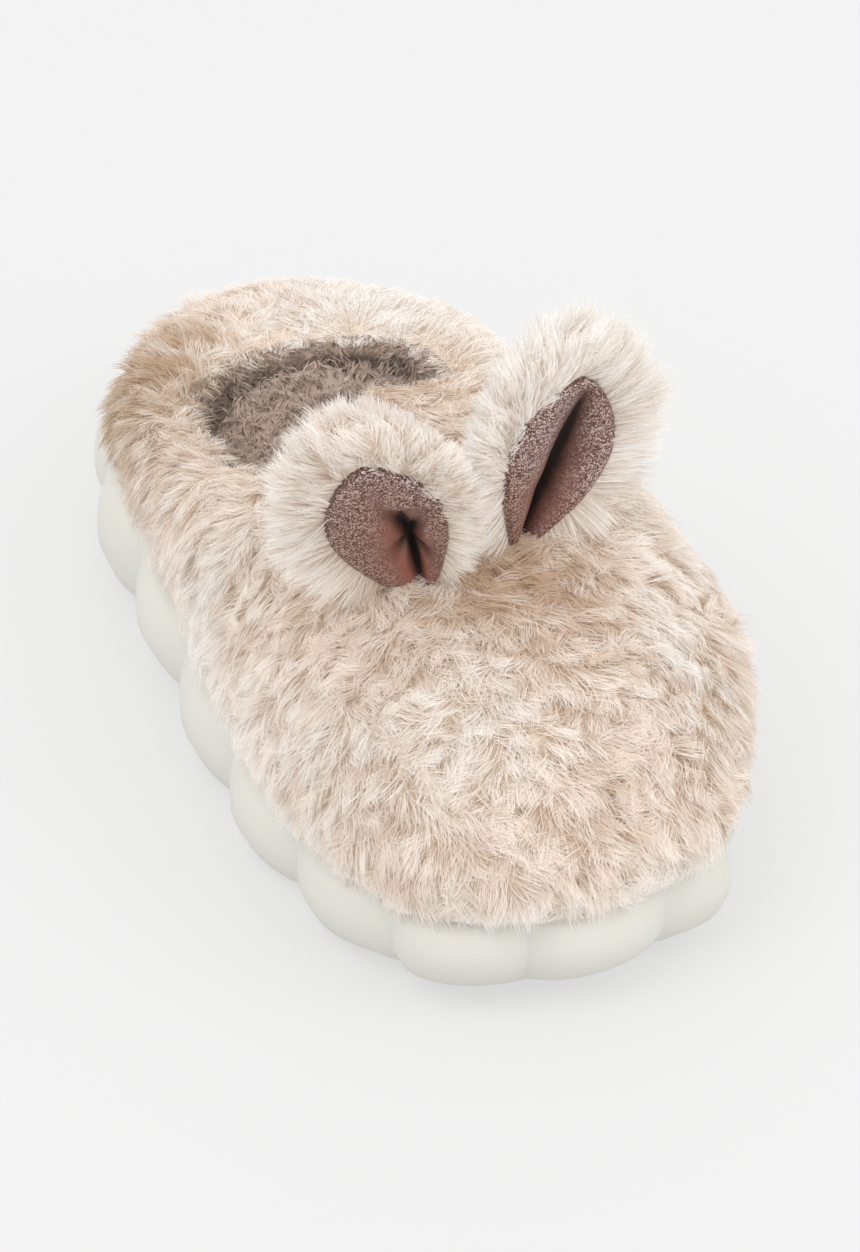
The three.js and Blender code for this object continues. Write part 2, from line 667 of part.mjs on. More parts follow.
// Thin patch that lines the front of an ear, standing just clear of it
function patchSolid(frame) {
  const rows = 7;
  const columns = 6;
  const faces = [[], []];
  for (let i = 0; i <= rows; i++) {
    const share = i / rows;
    const along = PATCH_START + share * (PATCH_LENGTH / EAR_LENGTH - PATCH_START);
    const towardsTip = Math.max(0, (share - PATCH_ROUND_FROM) / (1 - PATCH_ROUND_FROM));
    const narrowing = Math.sqrt(Math.max(0.02, 1 - towardsTip ** 2));
    for (let j = 0; j <= columns; j++) {
      const across = ((j / columns) * 2 - 1) * (PATCH_WIDTH / EAR_WIDTH) * narrowing;
      const lift = earHalfThickness(along, across) * Math.sqrt(1 - across ** 2) + 2 * CLEARANCE;
      faces[0].push(earPoint(frame, along, across, lift));
      faces[1].push(earPoint(frame, along, across, lift + PATCH_THICKNESS));
    }
  }
  const points = faces.flat();
  const behind = faces[0].length;
  const at = (i, j) => i * (columns + 1) + j;
  const triangles = [];
  for (let i = 0; i < rows; i++) {
    for (let j = 0; j < columns; j++) {
      const cell = [at(i, j), at(i, j + 1), at(i + 1, j + 1), at(i + 1, j)];
      triangles.push(...quad(...cell.toReversed()));
      triangles.push(...quad(...cell.map((index) => index + behind)));
    }
  }
  const border = [];
  for (let j = 0; j < columns; j++) border.push(at(0, j));
  for (let i = 0; i < rows; i++) border.push(at(i, columns));
  for (let j = columns; j > 0; j--) border.push(at(rows, j));
  for (let i = rows; i > 0; i--) border.push(at(i, 0));
  border.forEach((here, index) => {
    const next = border[(index + 1) % border.length];
    triangles.push(...quad(here, next, next + behind, here + behind));
  });
  return solidFrom(points, triangles);
}

// Materials and the assembled slipper

function finish(color, roughness) {
  return new THREE.MeshStandardMaterial({ color, roughness, metalness: 0 });
}

const FINISHES = {
  sole: finish(0xebeadf, 0.55),
  insole: finish(0x8d8078, 1),
  upper: finish(0xdcc9b6, 1),
  ear: finish(0xeadfd2, 1),
  patch: finish(0x7d5a55, 0.6),
};

const slipper = new THREE.Group();

function addPiece(name, solid, material) {
  const mesh = new THREE.Mesh(geometryFromSolid(solid), material);
  mesh.name = name;
  slipper.add(mesh);
}

addPiece('sole', soleSolid().subtract(treadSlots()), FINISHES.sole);
addPiece('insole', buildInsole(), FINISHES.insole);

const upper = buildUpper();
addPiece('upper', upper, FINISHES.upper);

// The seat of each ear is cut to the skin of the vamp, just clear of it
const seatCutter = upperShell(CLEARANCE).add(upper);
for (const ear of EARS) {
  const frame = earFrame(ear);
  const body = joined([earBody(frame), ...earLocks(frame, ear.side)]).subtract(seatCutter);
  addPiece(`ear_${ear.name}`, withoutPockets(body), FINISHES.ear);
  const patch = patchSolid(frame).subtract(seatCutter);
  addPiece(`ear_patch_${ear.name}`, withoutPockets(patch), FINISHES.patch);
}

export default slipper;
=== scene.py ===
import math

import bpy
import numpy as np
from mathutils import Matrix, Vector
from mathutils.kdtree import KDTree


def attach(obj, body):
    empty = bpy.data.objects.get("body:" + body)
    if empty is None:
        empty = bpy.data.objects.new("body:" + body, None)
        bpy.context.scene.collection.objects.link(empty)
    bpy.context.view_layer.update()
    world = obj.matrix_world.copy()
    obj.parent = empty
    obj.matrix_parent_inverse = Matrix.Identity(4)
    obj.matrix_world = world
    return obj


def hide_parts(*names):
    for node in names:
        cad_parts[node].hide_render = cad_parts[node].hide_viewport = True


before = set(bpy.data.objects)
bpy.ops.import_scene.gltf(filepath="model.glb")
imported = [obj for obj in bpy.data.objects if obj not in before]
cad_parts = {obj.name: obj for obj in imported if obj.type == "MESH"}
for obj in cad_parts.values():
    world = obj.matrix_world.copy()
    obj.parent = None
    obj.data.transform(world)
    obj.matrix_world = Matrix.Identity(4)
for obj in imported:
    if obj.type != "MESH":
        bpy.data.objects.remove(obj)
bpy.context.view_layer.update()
SEED = 11
MM = 0.001

# Sizes of the slipper in millimetres, the same as the solids have
SOLE_LENGTH, BALL_WIDTH = 268.0, 122.0
FOREFOOT_THICKNESS, HEEL_THICKNESS = 23.0, 28.0
INSTEP_HEIGHT, COLLAR_HALF_WIDTH = 80.0, 37.0
SPINE_FRONT, SPINE_BACK = 32.0, 58.0
RIM_MARGIN, ROOF_DROP, COLLAR_PAD, COLLAR_LIP = 5.0, 9.1, 37.0, 9.0
LOWEST_ROOF_SHARE = 0.35
FOREFOOT_SWELL, SEAT_DEPTH = 12.0, 1.2
INSOLE_THICKNESS = 4.5
EAR_LENGTH, EAR_WIDTH, EAR_THICKNESS, EAR_FOLD = 54.0, 40.0, 11.0, 10.0
EAR_WIDEST_AT, EAR_SEAT_WIDTH_SHARE = 0.58, 0.32
EAR_RIM_THICKNESS_SHARE, EAR_TIP_THICKNESS_SHARE, EAR_FOLD_FADE = 0.35, 0.45, 0.75
PATCH_THICKNESS, PATCH_LENGTH, PATCH_WIDTH = 1.2, 47.0, 28.0

# Outline of the sole: place along it, then the medial and lateral edge as shares of the ball's width
SOLE_OUTLINE = [
    (0.05, 0.28, -0.303), (0.12, 0.372, -0.386), (0.21, 0.444, -0.45), (0.31, 0.49, -0.487),
    (0.42, 0.463, -0.499), (0.54, 0.392, -0.499), (0.64, 0.374, -0.496), (0.75, 0.418, -0.488),
    (0.85, 0.402, -0.432), (0.93, 0.3, -0.315), (0.98, 0.16, -0.171),
]
TOE_TIP, HEEL_TIP = (0.0, -0.04), (1.0, -0.005)
CURVE_STEPS = 60
OUTLINE_STEP = 0.002

# Height of the sole's top: place along it, then the share of the rise from forefoot to heel
SOLE_TOPS = np.array([
    (0, 1.05), (0.05, 0.72), (0.12, 0.32), (0.2, 0.08), (0.3, 0), (0.42, 0.16),
    (0.56, 0.62), (0.7, 0.94), (0.8, 1), (0.94, 1.04), (1, 1.1),
])

# Sections round the upper, as shares of its sizes, from the toe along the medial side to the heel and back
SECTION_KEYS = ("around", "reach", "height", "pad", "lip", "tuck", "swell", "fullness")
UPPER_SECTIONS = np.array([
    (0, 0.73, 1, 0.19, 0.75, 1, 0.6, 2.15),
    (0.1, 0.75, 0.99, 0.19, 0.75, 1, 1.1, 2.2),
    (0.2, 0.82, 0.95, 0.19, 0.75, 0.95, 1.25, 2.25),
    (0.28, 0.9, 0.76, 0.22, 0.75, 0.8, 0.7, 2.2),
    (0.35, 0.86, 0.55, 0.32, 0.8, 0.4, 0.4, 2.1),
    (0.41, 1.02, 0.5, 0.68, 0.9, 0.5, 0.1, 2),
    (0.5, 1.18, 0.435, 1, 1, 0.05, 0, 2),
    (0.59, 1.15, 0.49, 0.75, 1, 0.1, 0, 2),
    (0.65, 1.18, 0.56, 0.55, 0.95, 0.3, 0, 2),
    (0.72, 1.2, 0.69, 0.38, 0.85, 0.7, 0.1, 2.1),
    (0.8, 1.14, 0.84, 0.22, 0.75, 0.95, 0.6, 2.2),
    (0.9, 0.76, 0.99, 0.19, 0.75, 1, 0.8, 2.2),
])

# Where the ground cloth stands in from the solid's skin to make room for the pile: depth, centre, width
INNER_BALL = (0.215, 0.05)
FLANK_HOLLOWS = [(5.5, 0.765, 0.08), (4.5, 0.625, 0.055), (4.5, 0.38, 0.08), (2.0, *INNER_BALL)]
INNER_BALL_FLATTER = 0.65
HOLLOW_FADE = 1.5

# Ears: seat and lean as in the solids, the rest for the face, crease, patch and pile of this model
EARS = {
    "lateral": {
        "side": -1, "seat": (-16.0, -53.5), "outward": 20, "forward": 14, "face": -16,
        "crease": 0.6, "root": 0.15, "centre": 0.2, "width": 0.13, "star": 1.3,
        "white": 0.62, "foot": 1.0, "trim": 0.4,
    },
    "medial": {
        "side": 1, "seat": (7.0, -48.5), "outward": 20, "forward": 2, "face": 13,
        "crease": 0.84, "root": 0.8, "centre": 0.1, "width": 0.15, "star": 0.3,
        # The medial ear's pile is paler: partly its own colour, partly painted light, as this ear faces away
        # from the key lamp.
        "white": 0.9, "foot": 0.4, "trim": 0.0,
    },
}
SEAT_SEARCH_FROM = 0.33
CREASE_DEPTH = 8.0
PAD_CREASE_DEEPER, PAD_CREASE_WIDER = 1.1, 1.35
PAD_TURNS, PAD_LEVELS = 40, 18
PAD_START, PAD_TIP_FROM, PAD_TIP_LEVELS = -0.16, 0.9, (0.94, 0.97, 0.99, 0.998)
PATCH_ROWS, PATCH_COLUMNS = 60, 56
PATCH_START = -0.06
PATCH_REACH = PATCH_LENGTH / EAR_LENGTH - PATCH_START
PATCH_ROUND_FROM, PATCH_ROUND_LENGTH, PATCH_TIP_SHARE = 0.55, 0.45, 0.03
PATCH_FOOT_LENGTH = 0.4
PATCH_STAND_OFF, PATCH_EDGE_ROUND, PATCH_EDGE_WIDTH = 1.1, 0.9, 0.16
STAR_FOLDS, STAR_TURN, STAR_HEIGHT, STAR_SPREAD = 5, 0.8, 0.42, 0.22

# How finely the wall of the upper and the grounds of the piles are drawn
RING_STEPS, PILE_COLUMNS = 200, 401
OUTER_LEVELS, INNER_LEVELS, WALL_LIP_TURNS = 22, 12, (30, 60, 90)
PILE_LEVELS, PILE_LOWEST_CLIMB, PILE_LIP_TURNS = 60, 0.015, (12, 24, 36, 48)
LINING_LEVELS, LINING_LOWEST_CLIMB, LINING_LIP_TURNS = 26, 0.05, (46, 68, 90)
EAR_PILE_LEVELS, EAR_PILE_TURNS, EAR_PILE_SPAN = 60, 121, (-0.04, 0.995)

# Piles: share of strands that lead a clump, scatter of the rest, pull to the leader, droop, half width
PILES = {
    "upper": {"strands": 126000, "leaders": 0.045, "scatter": 0.8, "pull": 0.47, "droop": 0.08,
              "half_width": 0.108},
    "lining": {"strands": 17000, "leaders": 0.07, "scatter": 0.3, "pull": 0.6, "droop": 0.0,
               "half_width": 0.185},
    "ear": {"strands": 16500, "leaders": 0.035, "scatter": 0.6, "pull": 0.32, "droop": 0.08,
            "half_width": 0.112},
}
UPPER_PIECES = 4
UPPER_STRAND, UPPER_STRAND_SPREAD = 9.0, (0.7, 1.2)
EAR_STRAND, EAR_STRAND_SPREAD, EAR_STRAND_RISE = 11.0, (0.7, 1.15), (0.8, 0.4)
LINING_STRAND_LENGTHS, LINING_STRAND_RISE = (2.4, 3.8), (1.6, 0.7)
BED_STRANDS, BED_MARGIN = 11000, 3.5
LINING_SEEN_FROM, BED_BACK, BED_HALF_WIDTH = -25, 130, 50
PARTING_LEVEL, PARTING_RUFFLE, PARTING_SCATTER = 60.8, 1.3, 0.8
SOLE_CLEARANCE, RIM_REACH = 0.15, RIM_MARGIN - 1

# Lie of the long pile, in radians: slow turns, ruffles, then scatter of strands and of clumps
LIE_TURN, LIE_RUFFLE, LIE_SCATTER, CLUMP_SCATTER = 0.35, 0.5, 0.25, 0.62
CLUMP_BEND, STRAND_BEND = 0.5, 0.3

# Cut of the long pile: shorter low down and at the heel, clumps that stand up more or less
LOW_BAND, LOW_LENGTH, HEEL_SHORTER, HEEL_FLATTER = 0.22, 0.75, 0.25, 0.4
HEEL_ALONG, HEEL_ACROSS = (55, 50), (-50, 40)
CREST_BAND, CREST_FLATTER = (0.8, 0.2), 0.3
INWARD_LENGTH, INWARD_OUTER_MORE = 0.45, 0.35
TUFT_SPREAD, RAGGED_TUFT, RAGGED_LONGER, RAGGED_STEEPER = (0.55, 1.5), 1.15, 0.4, 0.8
OUTER_HEEL_FLATTER = 0.35

# Each strand: its points and faces, its four stations, taper, roll and spread of width
STRAND_POINTS = 7
STRAND_CORNERS = np.array([0, 1, 3, 2, 2, 3, 5, 4, 4, 5, 6])
FACE_STARTS = np.array([0, 4, 8])
STATIONS = np.array([0, 0.36, 0.72, 1.0])
TAPER = np.array([1.0, 0.95, 0.6, 0.0])
PULL_FADE = 1.3
STRAND_ROLL, STRAND_WIDTHS = 1.1, (0.7, 1.3)
FLAT_SHARE, GROUND_SHARE = 0.33, 0.85

# Colours of the pile, the foam and the glitter net, and how far the pile's tone and shade vary
CREAM = np.array([0.955, 0.905, 0.855])
WHITE = np.array([0.93, 0.918, 0.9])
TAN = np.array([0.70, 0.545, 0.405])
BROWN = np.array([0.50, 0.345, 0.225])
TAUPE_LOW, TAUPE_HIGH = np.array([0.27, 0.198, 0.158]), np.array([0.525, 0.412, 0.335])
# The third foam colour is the one the foam darkens to near the floor.
FOAM_DARK, FOAM_LIGHT, FOAM_NEAR_FLOOR = (0.615, 0.60, 0.55), (0.665, 0.655, 0.605), (0.5, 0.47, 0.4)
NET_DARK, NET_LIGHT, NET_BY_FLAKES = (0.20, 0.065, 0.045), (0.34, 0.125, 0.085), (0.11, 0.036, 0.028)
FLAKE = (0.72, 0.58, 0.54)
OUTER_HEEL_DARKER = np.array([0.17, 0.2, 0.26])
TONE_SCATTER, CLUMP_TONE_SCATTER, LINING_TONE_SCATTER, SHADE_SPREAD = 0.07, 0.12, 0.14, (0.92, 1.06)
FUR_STEPS = np.array([0.0, 0.4, 0.85, 1.0])[None, :, None]
LINING_STEPS = np.array([0.0, 0.5, 0.85, 1.0])[None, :, None]

# Soft zones on the upper: centre and size, in the two tables after how much they change
ZONE_FALLOFF = 1.6
OUTER_HEEL = ((-52, 84, 42), (24, 34, 26))
RAGGED_HEEL = ((-28, 110, 42), (28, 22, 22))
LENGTH_ZONES = [
    (-0.25, (46, 40, 50), (24, 44, 34)),
    (0.3, (0, -128, 28), (48, 18, 14)),
    (0.12, *OUTER_HEEL),
]
WHITE_ZONES = [
    (0.7, (20, 105, 40), (40, 44, 30)),
    # Paler at the toe's front: partly the pile's own colour, partly painted light on the front of the toe.
    (0.45, (0, -130, 28), (60, 22, 16)),
    (0.6, (-54, -16, 38), (24, 75, 28)),
    (0.5, (54, -80, 38), (22, 55, 28)),
]

# Tan of the pile: strength, how far it is speckled, centre and size
TAN_ZONES = [
    # Between the ears' seats: partly the pile's own tan, partly painted shade below the ears.
    (0.60, 0.25, (-4, -52, 80), (28, 28, 22)),
    (0.25, 0, (-26, -74, 66), (16, 14, 18)),
    (0.22, 0, (4, -80, 66), (26, 45, 25)),
    (0.9, 0.45, (-47, 86, 42), (28, 34, 28)),
    (0.30, 0, (-50, 42, 55), (24, 34, 24)),
    (-0.35, 0, (38, 76, 44), (26, 34, 24)),
    (0.10, 0, (52, -86, 44), (18, 26, 22)),
    (0.20, 0, (30, -112, 42), (26, 16, 16)),
    (-0.60, 0, (12, 118, 38), (36, 34, 26)),
    (-0.12, 0, (46, -60, 56), (20, 40, 24)),
    (-0.30, 0, (-54, -25, 36), (22, 80, 26)),
    # Less tan at the toe's front: partly the pile's own colour, partly painted light on the front of the
    # toe.
    (-0.5, 0, (0, -128, 30), (70, 18, 20)),
    (-0.25, 0, (44, 42, 52), (24, 40, 30)),
]

# Camera in metres and degrees: the photograph's angle to the shoe, framed on the one slipper
CAMERA_AZIMUTH, CAMERA_ELEVATION, CAMERA_ROLL = -16.411, 36.159, -1.056
CAMERA_PLACE = (-0.60346, -2.05937, 1.58552)
CAMERA_LENS, SENSOR_WIDTH = 326.98, 36

# Lights in metres and watts: place, size and power
LIGHTS = {
    "key": ((-1.0, -0.7, 1.9), 1.4, 12),
    "fill": ((1.3, -1.2, 1.3), 1.6, 11),
    "rim": ((0.4, 1.6, 1.3), 1.2, 3),
}
SKY_STRENGTH, FLOOR_GLOW, FLOOR_HALF_WIDTH = 1.1, 0.54, 6
WELD_DISTANCE, SHARP_ANGLE = 0.00002, 38


def unit(v):
    return v / np.maximum(np.linalg.norm(v, axis=-1, keepdims=True), 1e-9)


def dot(a, b):
    return (a * b).sum(-1, keepdims=True)


def at_least(low, share):
    """From low at a share of 0 up to 1 at a share of 1."""
    return low + (1 - low) * share


def ramp(value, start, length):
    """0 up to start, then rising evenly to 1 over the length."""
    return np.clip((value - start) / length, 0, 1)


# Camera
def make_camera():
    angles = (CAMERA_AZIMUTH, CAMERA_ELEVATION, CAMERA_ROLL)
    azimuth, elevation, roll = (math.radians(angle) for angle in angles)
    back = Vector((math.sin(azimuth) * math.cos(elevation),
                   -math.cos(azimuth) * math.cos(elevation), math.sin(elevation)))
    right = Vector((math.cos(azimuth), math.sin(azimuth), 0))
    up = back.cross(right)
    rolled = math.cos(roll) * right + math.sin(roll) * up
    rolled_up = back.cross(rolled)
    data = bpy.data.cameras.new("camera")
    data.sensor_width = SENSOR_WIDTH
    data.lens = CAMERA_LENS
    data.clip_start, data.clip_end = 0.1, 20
    camera = bpy.data.objects.new("camera", data)
    bpy.context.scene.collection.objects.link(camera)
    place = Matrix((rolled, rolled_up, back)).transposed().to_4x4()
    place.translation = Vector(CAMERA_PLACE)
    camera.matrix_world = place
    bpy.context.scene.camera = camera


# Plan of the sole and the height of its top
def closed_curve(points):
    """A smooth closed curve through the points, however unevenly they are spaced."""
    count = len(points)
    rows = []
    t = np.linspace(0, 1, CURVE_STEPS, endpoint=False)[:, None]
    for i in range(count):
        p0, p1, p2, p3 = (points[(i + k - 1) % count] for k in range(4))
        d0, d1, d2 = (np.linalg.norm(b - a) ** 0.5 for a, b in ((p0, p1), (p1, p2), (p2, p3)))
        t1 = ((p1 - p0) / d0 - (p2 - p0) / (d0 + d1) + (p2 - p1) / d1) * d1
        t2 = ((p2 - p1) / d1 - (p3 - p1) / (d1 + d2) + (p3 - p2) / d2) * d1
        rows.append((2 * t**3 - 3 * t**2 + 1) * p1 + (t**3 - 2 * t**2 + t) * t1
                    + (3 * t**2 - 2 * t**3) * p2 + (t**3 - t**2) * t2)
    return np.concatenate(rows)


def sole_outline():
    """Points of the closed outline, and the share of its length at each of them."""
    plan = [TOE_TIP] + [(along, medial) for along, medial, _ in SOLE_OUTLINE] + [HEEL_TIP]
    plan += [(along, lateral) for along, _, lateral in reversed(SOLE_OUTLINE)]
    corners = [np.array([side * BALL_WIDTH, (along - 0.5) * SOLE_LENGTH]) for along, side in plan]
    points = closed_curve(corners)
    points = np.vstack([points, points[:1]])
    steps = np.linalg.norm(np.diff(points, axis=0), axis=1)
    share = np.concatenate([[0], np.cumsum(steps)])
    return points, share / share[-1]


outline, outline_share = sole_outline()


def on_outline(around):
    share = np.mod(around, 1)
    return np.stack([np.interp(share, outline_share, outline[:, k]) for k in (0, 1)], -1)


def outline_at(around, inset):
    """Places on the sole's outline, moved inwards by the inset."""
    share = np.mod(around, 1)
    tangent = unit(on_outline(share + OUTLINE_STEP) - on_outline(share - OUTLINE_STEP))
    return on_outline(share) + inset[..., None] * np.stack([-tangent[..., 1], tangent[..., 0]], -1)


def smooth_curve(x, knots, values):
    """A smooth curve through the knots, read at x."""
    slopes = np.zeros(len(values))
    slopes[1:-1] = (values[2:] - values[:-2]) / (knots[2:] - knots[:-2])
    i = np.clip(np.searchsorted(knots, x, side="right") - 1, 0, len(knots) - 2)
    span = knots[i + 1] - knots[i]
    t = (x - knots[i]) / span
    return ((2 * t**3 - 3 * t**2 + 1) * values[i] + (t**3 - 2 * t**2 + t) * span * slopes[i]
            + (3 * t**2 - 2 * t**3) * values[i + 1] + (t**3 - t**2) * span * slopes[i + 1])


def sole_top(y):
    along, tops = SOLE_TOPS[:, 0], SOLE_TOPS[:, 1]
    knots = np.concatenate([[-along[1]], along, [2 - along[-2]]])
    values = np.concatenate([tops[:1], tops, tops[-1:]])
    share = smooth_curve(np.clip(y / SOLE_LENGTH + 0.5, 0, 1), knots, values)
    return FOREFOOT_THICKNESS + share * (HEEL_THICKNESS - FOREFOOT_THICKNESS)


def column(key, around):
    """One column of the table of sections, read all round the upper."""
    places, rows = UPPER_SECTIONS[:, 0], UPPER_SECTIONS[:, SECTION_KEYS.index(key)]
    knots = np.concatenate([places[-2:] - 1, places, places[:3] + 1])
    return smooth_curve(np.mod(around, 1), knots, np.concatenate([rows[-2:], rows, rows[:3]]))


# Skin of the upper, from the sole over the collar's lip and down inside
def section_frame(around):
    """Nearest place on the spine, the direction outwards from it and the distance to the wall's foot."""
    foot = outline_at(around, np.full_like(around, RIM_MARGIN))
    root = np.stack([np.zeros_like(around), np.clip(foot[..., 1], SPINE_FRONT, SPINE_BACK)], -1)
    distance = np.linalg.norm(foot - root, axis=-1)
    return root, (foot - root) / distance[..., None], distance


def section_point(around, distance, height):
    root, outwards, _ = section_frame(around)
    return np.concatenate([root + outwards * distance[..., None], height[..., None]], -1)


def stretch(around, centre, width):
    """1 along a stretch of the way round the sole, 0 away from it."""
    return np.exp(-(((np.mod(around, 1) - centre) / width) ** 4))


def flank_hollow(around):
    return sum(depth * stretch(around, centre, width) for depth, centre, width in FLANK_HOLLOWS)


def collar_crest(around):
    return column("reach", around) * COLLAR_HALF_WIDTH, column("height", around) * INSTEP_HEIGHT


def outer_skin(around, climb):
    """The outside, at a climb from 0 on the sole to 1 at the collar's crest."""
    _, _, foot = section_frame(around)
    fullness = 2 / column("fullness", around)
    angle = climb * math.pi / 2
    rising = np.sin(angle) ** fullness
    leaning = 1 - np.maximum(np.cos(angle), 0) ** fullness
    crest, crest_height = collar_crest(around)
    swell = column("swell", around) * FOREFOOT_SWELL * np.sin(math.pi * rising) * (1 - climb)
    swell = swell * (1 - INNER_BALL_FLATTER * stretch(around, *INNER_BALL))
    swell = swell - flank_hollow(around) * (1 - climb) ** HOLLOW_FADE
    base = sole_top(section_point(around, foot, foot)[..., 1]) - SEAT_DEPTH
    distance = foot + (crest - foot) * leaning + swell
    return section_point(around, distance, base + (crest_height - base) * rising)


def inside_values(around):
    _, _, foot = section_frame(around)
    crest, crest_height = collar_crest(around)
    lip = column("lip", around) * COLLAR_LIP
    inner_foot = foot - column("pad", around) * COLLAR_PAD
    base = sole_top(section_point(around, inner_foot, foot)[..., 1]) - SEAT_DEPTH
    roof = np.maximum(crest_height - ROOF_DROP, base + LOWEST_ROOF_SHARE * (crest_height - base))
    return crest, crest_height, lip, inner_foot, base, roof


def lip_skin(around, turn):
    """The collar's lip, at a turn from 0 at its crest to a right angle inside it."""
    crest, crest_height, lip, _, _, roof = inside_values(around)
    low = (crest_height + roof) / 2
    return section_point(around, crest - lip * np.sin(turn), low + (crest_height - low) * np.cos(turn))


def inner_skin(around, climb):
    """The inside, at a climb from 0 on the sole to 1 under the lip."""
    crest, _, lip, inner_foot, base, roof = inside_values(around)
    roof_distance = crest - lip + column("tuck", around) * lip
    fullness = 2 / column("fullness", around)
    angle = climb * math.pi / 2
    leaning = 1 - np.maximum(np.cos(angle), 0) ** fullness
    return section_point(around, inner_foot + (roof_distance - inner_foot) * leaning,
                         base + (roof - base) * np.sin(angle) ** fullness)


def skin_rows(skin, around, levels):
    """Rows of points of a skin, one at each level."""
    return [skin(around, np.full_like(around, level)) for level in levels]


# Smooth noise from a sum of plane waves
def noise_field(seed, waves, size):
    draws = np.random.default_rng(seed)
    directions = unit(draws.normal(size=(waves, 3)))
    directions = directions * draws.uniform(0.5, 1.6, (waves, 1)) * 2 * math.pi / size
    phases = draws.uniform(0, 2 * math.pi, waves)
    return lambda p: np.sin(p @ directions.T + phases).sum(-1) / math.sqrt(waves / 2)


turning = noise_field(3, 14, 42.0)
ruffling = noise_field(4, 14, 15.0)
blotches = noise_field(5, 16, 60.0)
speckle = noise_field(6, 16, 9.0)


def zone(p, centre, size):
    """1 at the centre of a soft zone, 0 outside it."""
    away = np.linalg.norm((p - np.array(centre)) / np.array(size), axis=-1)
    return np.exp(-(away**2) * ZONE_FALLOFF)


# Meshes
def add_piece(name, mesh):
    obj = bpy.data.objects.new(name, mesh)
    bpy.context.scene.collection.objects.link(obj)
    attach(obj, "root")
    return obj


def mesh_object(name, points, faces, materials):
    mesh = bpy.data.meshes.new(name)
    mesh.from_pydata((points * MM).tolist(), [], faces)
    mesh.polygons.foreach_set("use_smooth", [True] * len(mesh.polygons))
    for material in materials:
        mesh.materials.append(material)
    return add_piece(name, mesh)


def strand_object(name, strands, chosen, colours, material):
    """One joined mesh of flat tapered strands, each two quads and a triangle on seven points."""
    stations, sides, normals = (values[chosen] for values in strands)
    shades_of = colours[chosen]
    count = len(stations)
    verts = np.empty((count, STRAND_POINTS, 3), np.float32)
    shades = np.ones((count, STRAND_POINTS, 4), np.float32)
    bent = np.empty((count, STRAND_POINTS, 3), np.float32)
    for k in range(3):
        for edge, sign in ((0, -1), (1, 1)):
            verts[:, 2 * k + edge] = stations[:, k] + sign * sides[:, k]
            shades[:, 2 * k + edge, :3] = shades_of[:, k]
            bent[:, 2 * k + edge] = normals[:, k]
    verts[:, -1], shades[:, -1, :3], bent[:, -1] = stations[:, -1], shades_of[:, -1], normals[:, -1]
    strand = np.arange(count)[:, None]
    loops = (strand * STRAND_POINTS + STRAND_CORNERS).astype(np.int32)
    starts = (strand * len(STRAND_CORNERS) + FACE_STARTS).astype(np.int32)
    mesh = bpy.data.meshes.new(name)
    mesh.vertices.add(count * STRAND_POINTS)
    mesh.vertices.foreach_set("co", (verts * MM).ravel())
    mesh.loops.add(loops.size)
    mesh.loops.foreach_set("vertex_index", loops.ravel())
    mesh.polygons.add(starts.size)
    mesh.polygons.foreach_set("loop_start", starts.ravel())
    mesh.update(calc_edges=True)
    mesh.polygons.foreach_set("use_smooth", np.ones(starts.size, bool))
    tint = mesh.color_attributes.new("tint", "FLOAT_COLOR", "POINT")
    tint.data.foreach_set("color", shades.ravel())
    mesh.normals_split_custom_set_from_vertices(unit(bent).reshape(-1, 3).tolist())
    mesh.materials.append(material)
    return add_piece(name, mesh)


def quad(i, j, n_rows, n_cols):
    """Corners of one face of a grid of points whose rows and columns run round."""
    below, after = (i + 1) % n_rows, (j + 1) % n_cols
    return (i * n_cols + j, i * n_cols + after, below * n_cols + after, below * n_cols + j)


def sheet_faces(n_rows, n_cols):
    """Faces of a thin closed sheet: a grid on top, the same grid under it, and the rim between them."""
    under = n_rows * n_cols
    faces = []
    for i in range(n_rows - 1):
        for j in range(n_cols - 1):
            top = quad(i, j, n_rows, n_cols)
            faces += [top, tuple(corner + under for corner in reversed(top))]
    last_row, last_col = (n_rows - 1) * n_cols, n_cols - 1
    rim = list(range(last_col)) + [i * n_cols + last_col for i in range(n_rows - 1)]
    rim += [last_row + j for j in range(last_col, 0, -1)]
    rim += [i * n_cols for i in range(n_rows - 1, 0, -1)]
    return faces + [(b, a, a + under, b + under) for a, b in zip(rim, rim[1:] + rim[:1])]


# Strands
def sample_grid(grid, count, made, weight=1.0):
    """Random places on a grid of points, as fractional rows and columns, even by area."""
    a, b, c = grid[:-1, :-1], grid[:-1, 1:], grid[1:, :-1]
    area = np.linalg.norm(np.cross(b - a, c - a), axis=-1) * weight
    chance = area.ravel() / area.sum()
    cell = made.choice(chance.size, count, p=chance)
    row, col = np.divmod(cell, area.shape[1])
    return row + made.uniform(size=count), col + made.uniform(size=count)


def on_grid(values, row, col):
    """Vectors of a grid, read between its points."""
    i = np.minimum(row.astype(int), values.shape[0] - 2)
    j = np.minimum(col.astype(int), values.shape[1] - 2)
    u, v = (row - i)[:, None], (col - j)[:, None]
    return ((1 - u) * (1 - v) * values[i, j] + (1 - u) * v * values[i, j + 1]
            + u * (1 - v) * values[i + 1, j] + u * v * values[i + 1, j + 1])


def number_on_grid(values, row, col):
    return on_grid(values[..., None], row, col)[:, 0]


def clumps_of(root, pile, made):
    """The strands that lead a clump, and for each strand which of them it follows."""
    count = len(root)
    leaders = made.choice(count, max(int(count * pile["leaders"]), 2), replace=False)
    tree = KDTree(len(leaders))
    for i, leader in enumerate(leaders):
        tree.insert(Vector(root[leader]), i)
    tree.balance()
    shifted = root + made.normal(scale=pile["scatter"], size=root.shape)
    owner = np.array([tree.find(Vector(p))[1] for p in shifted])
    return leaders, owner


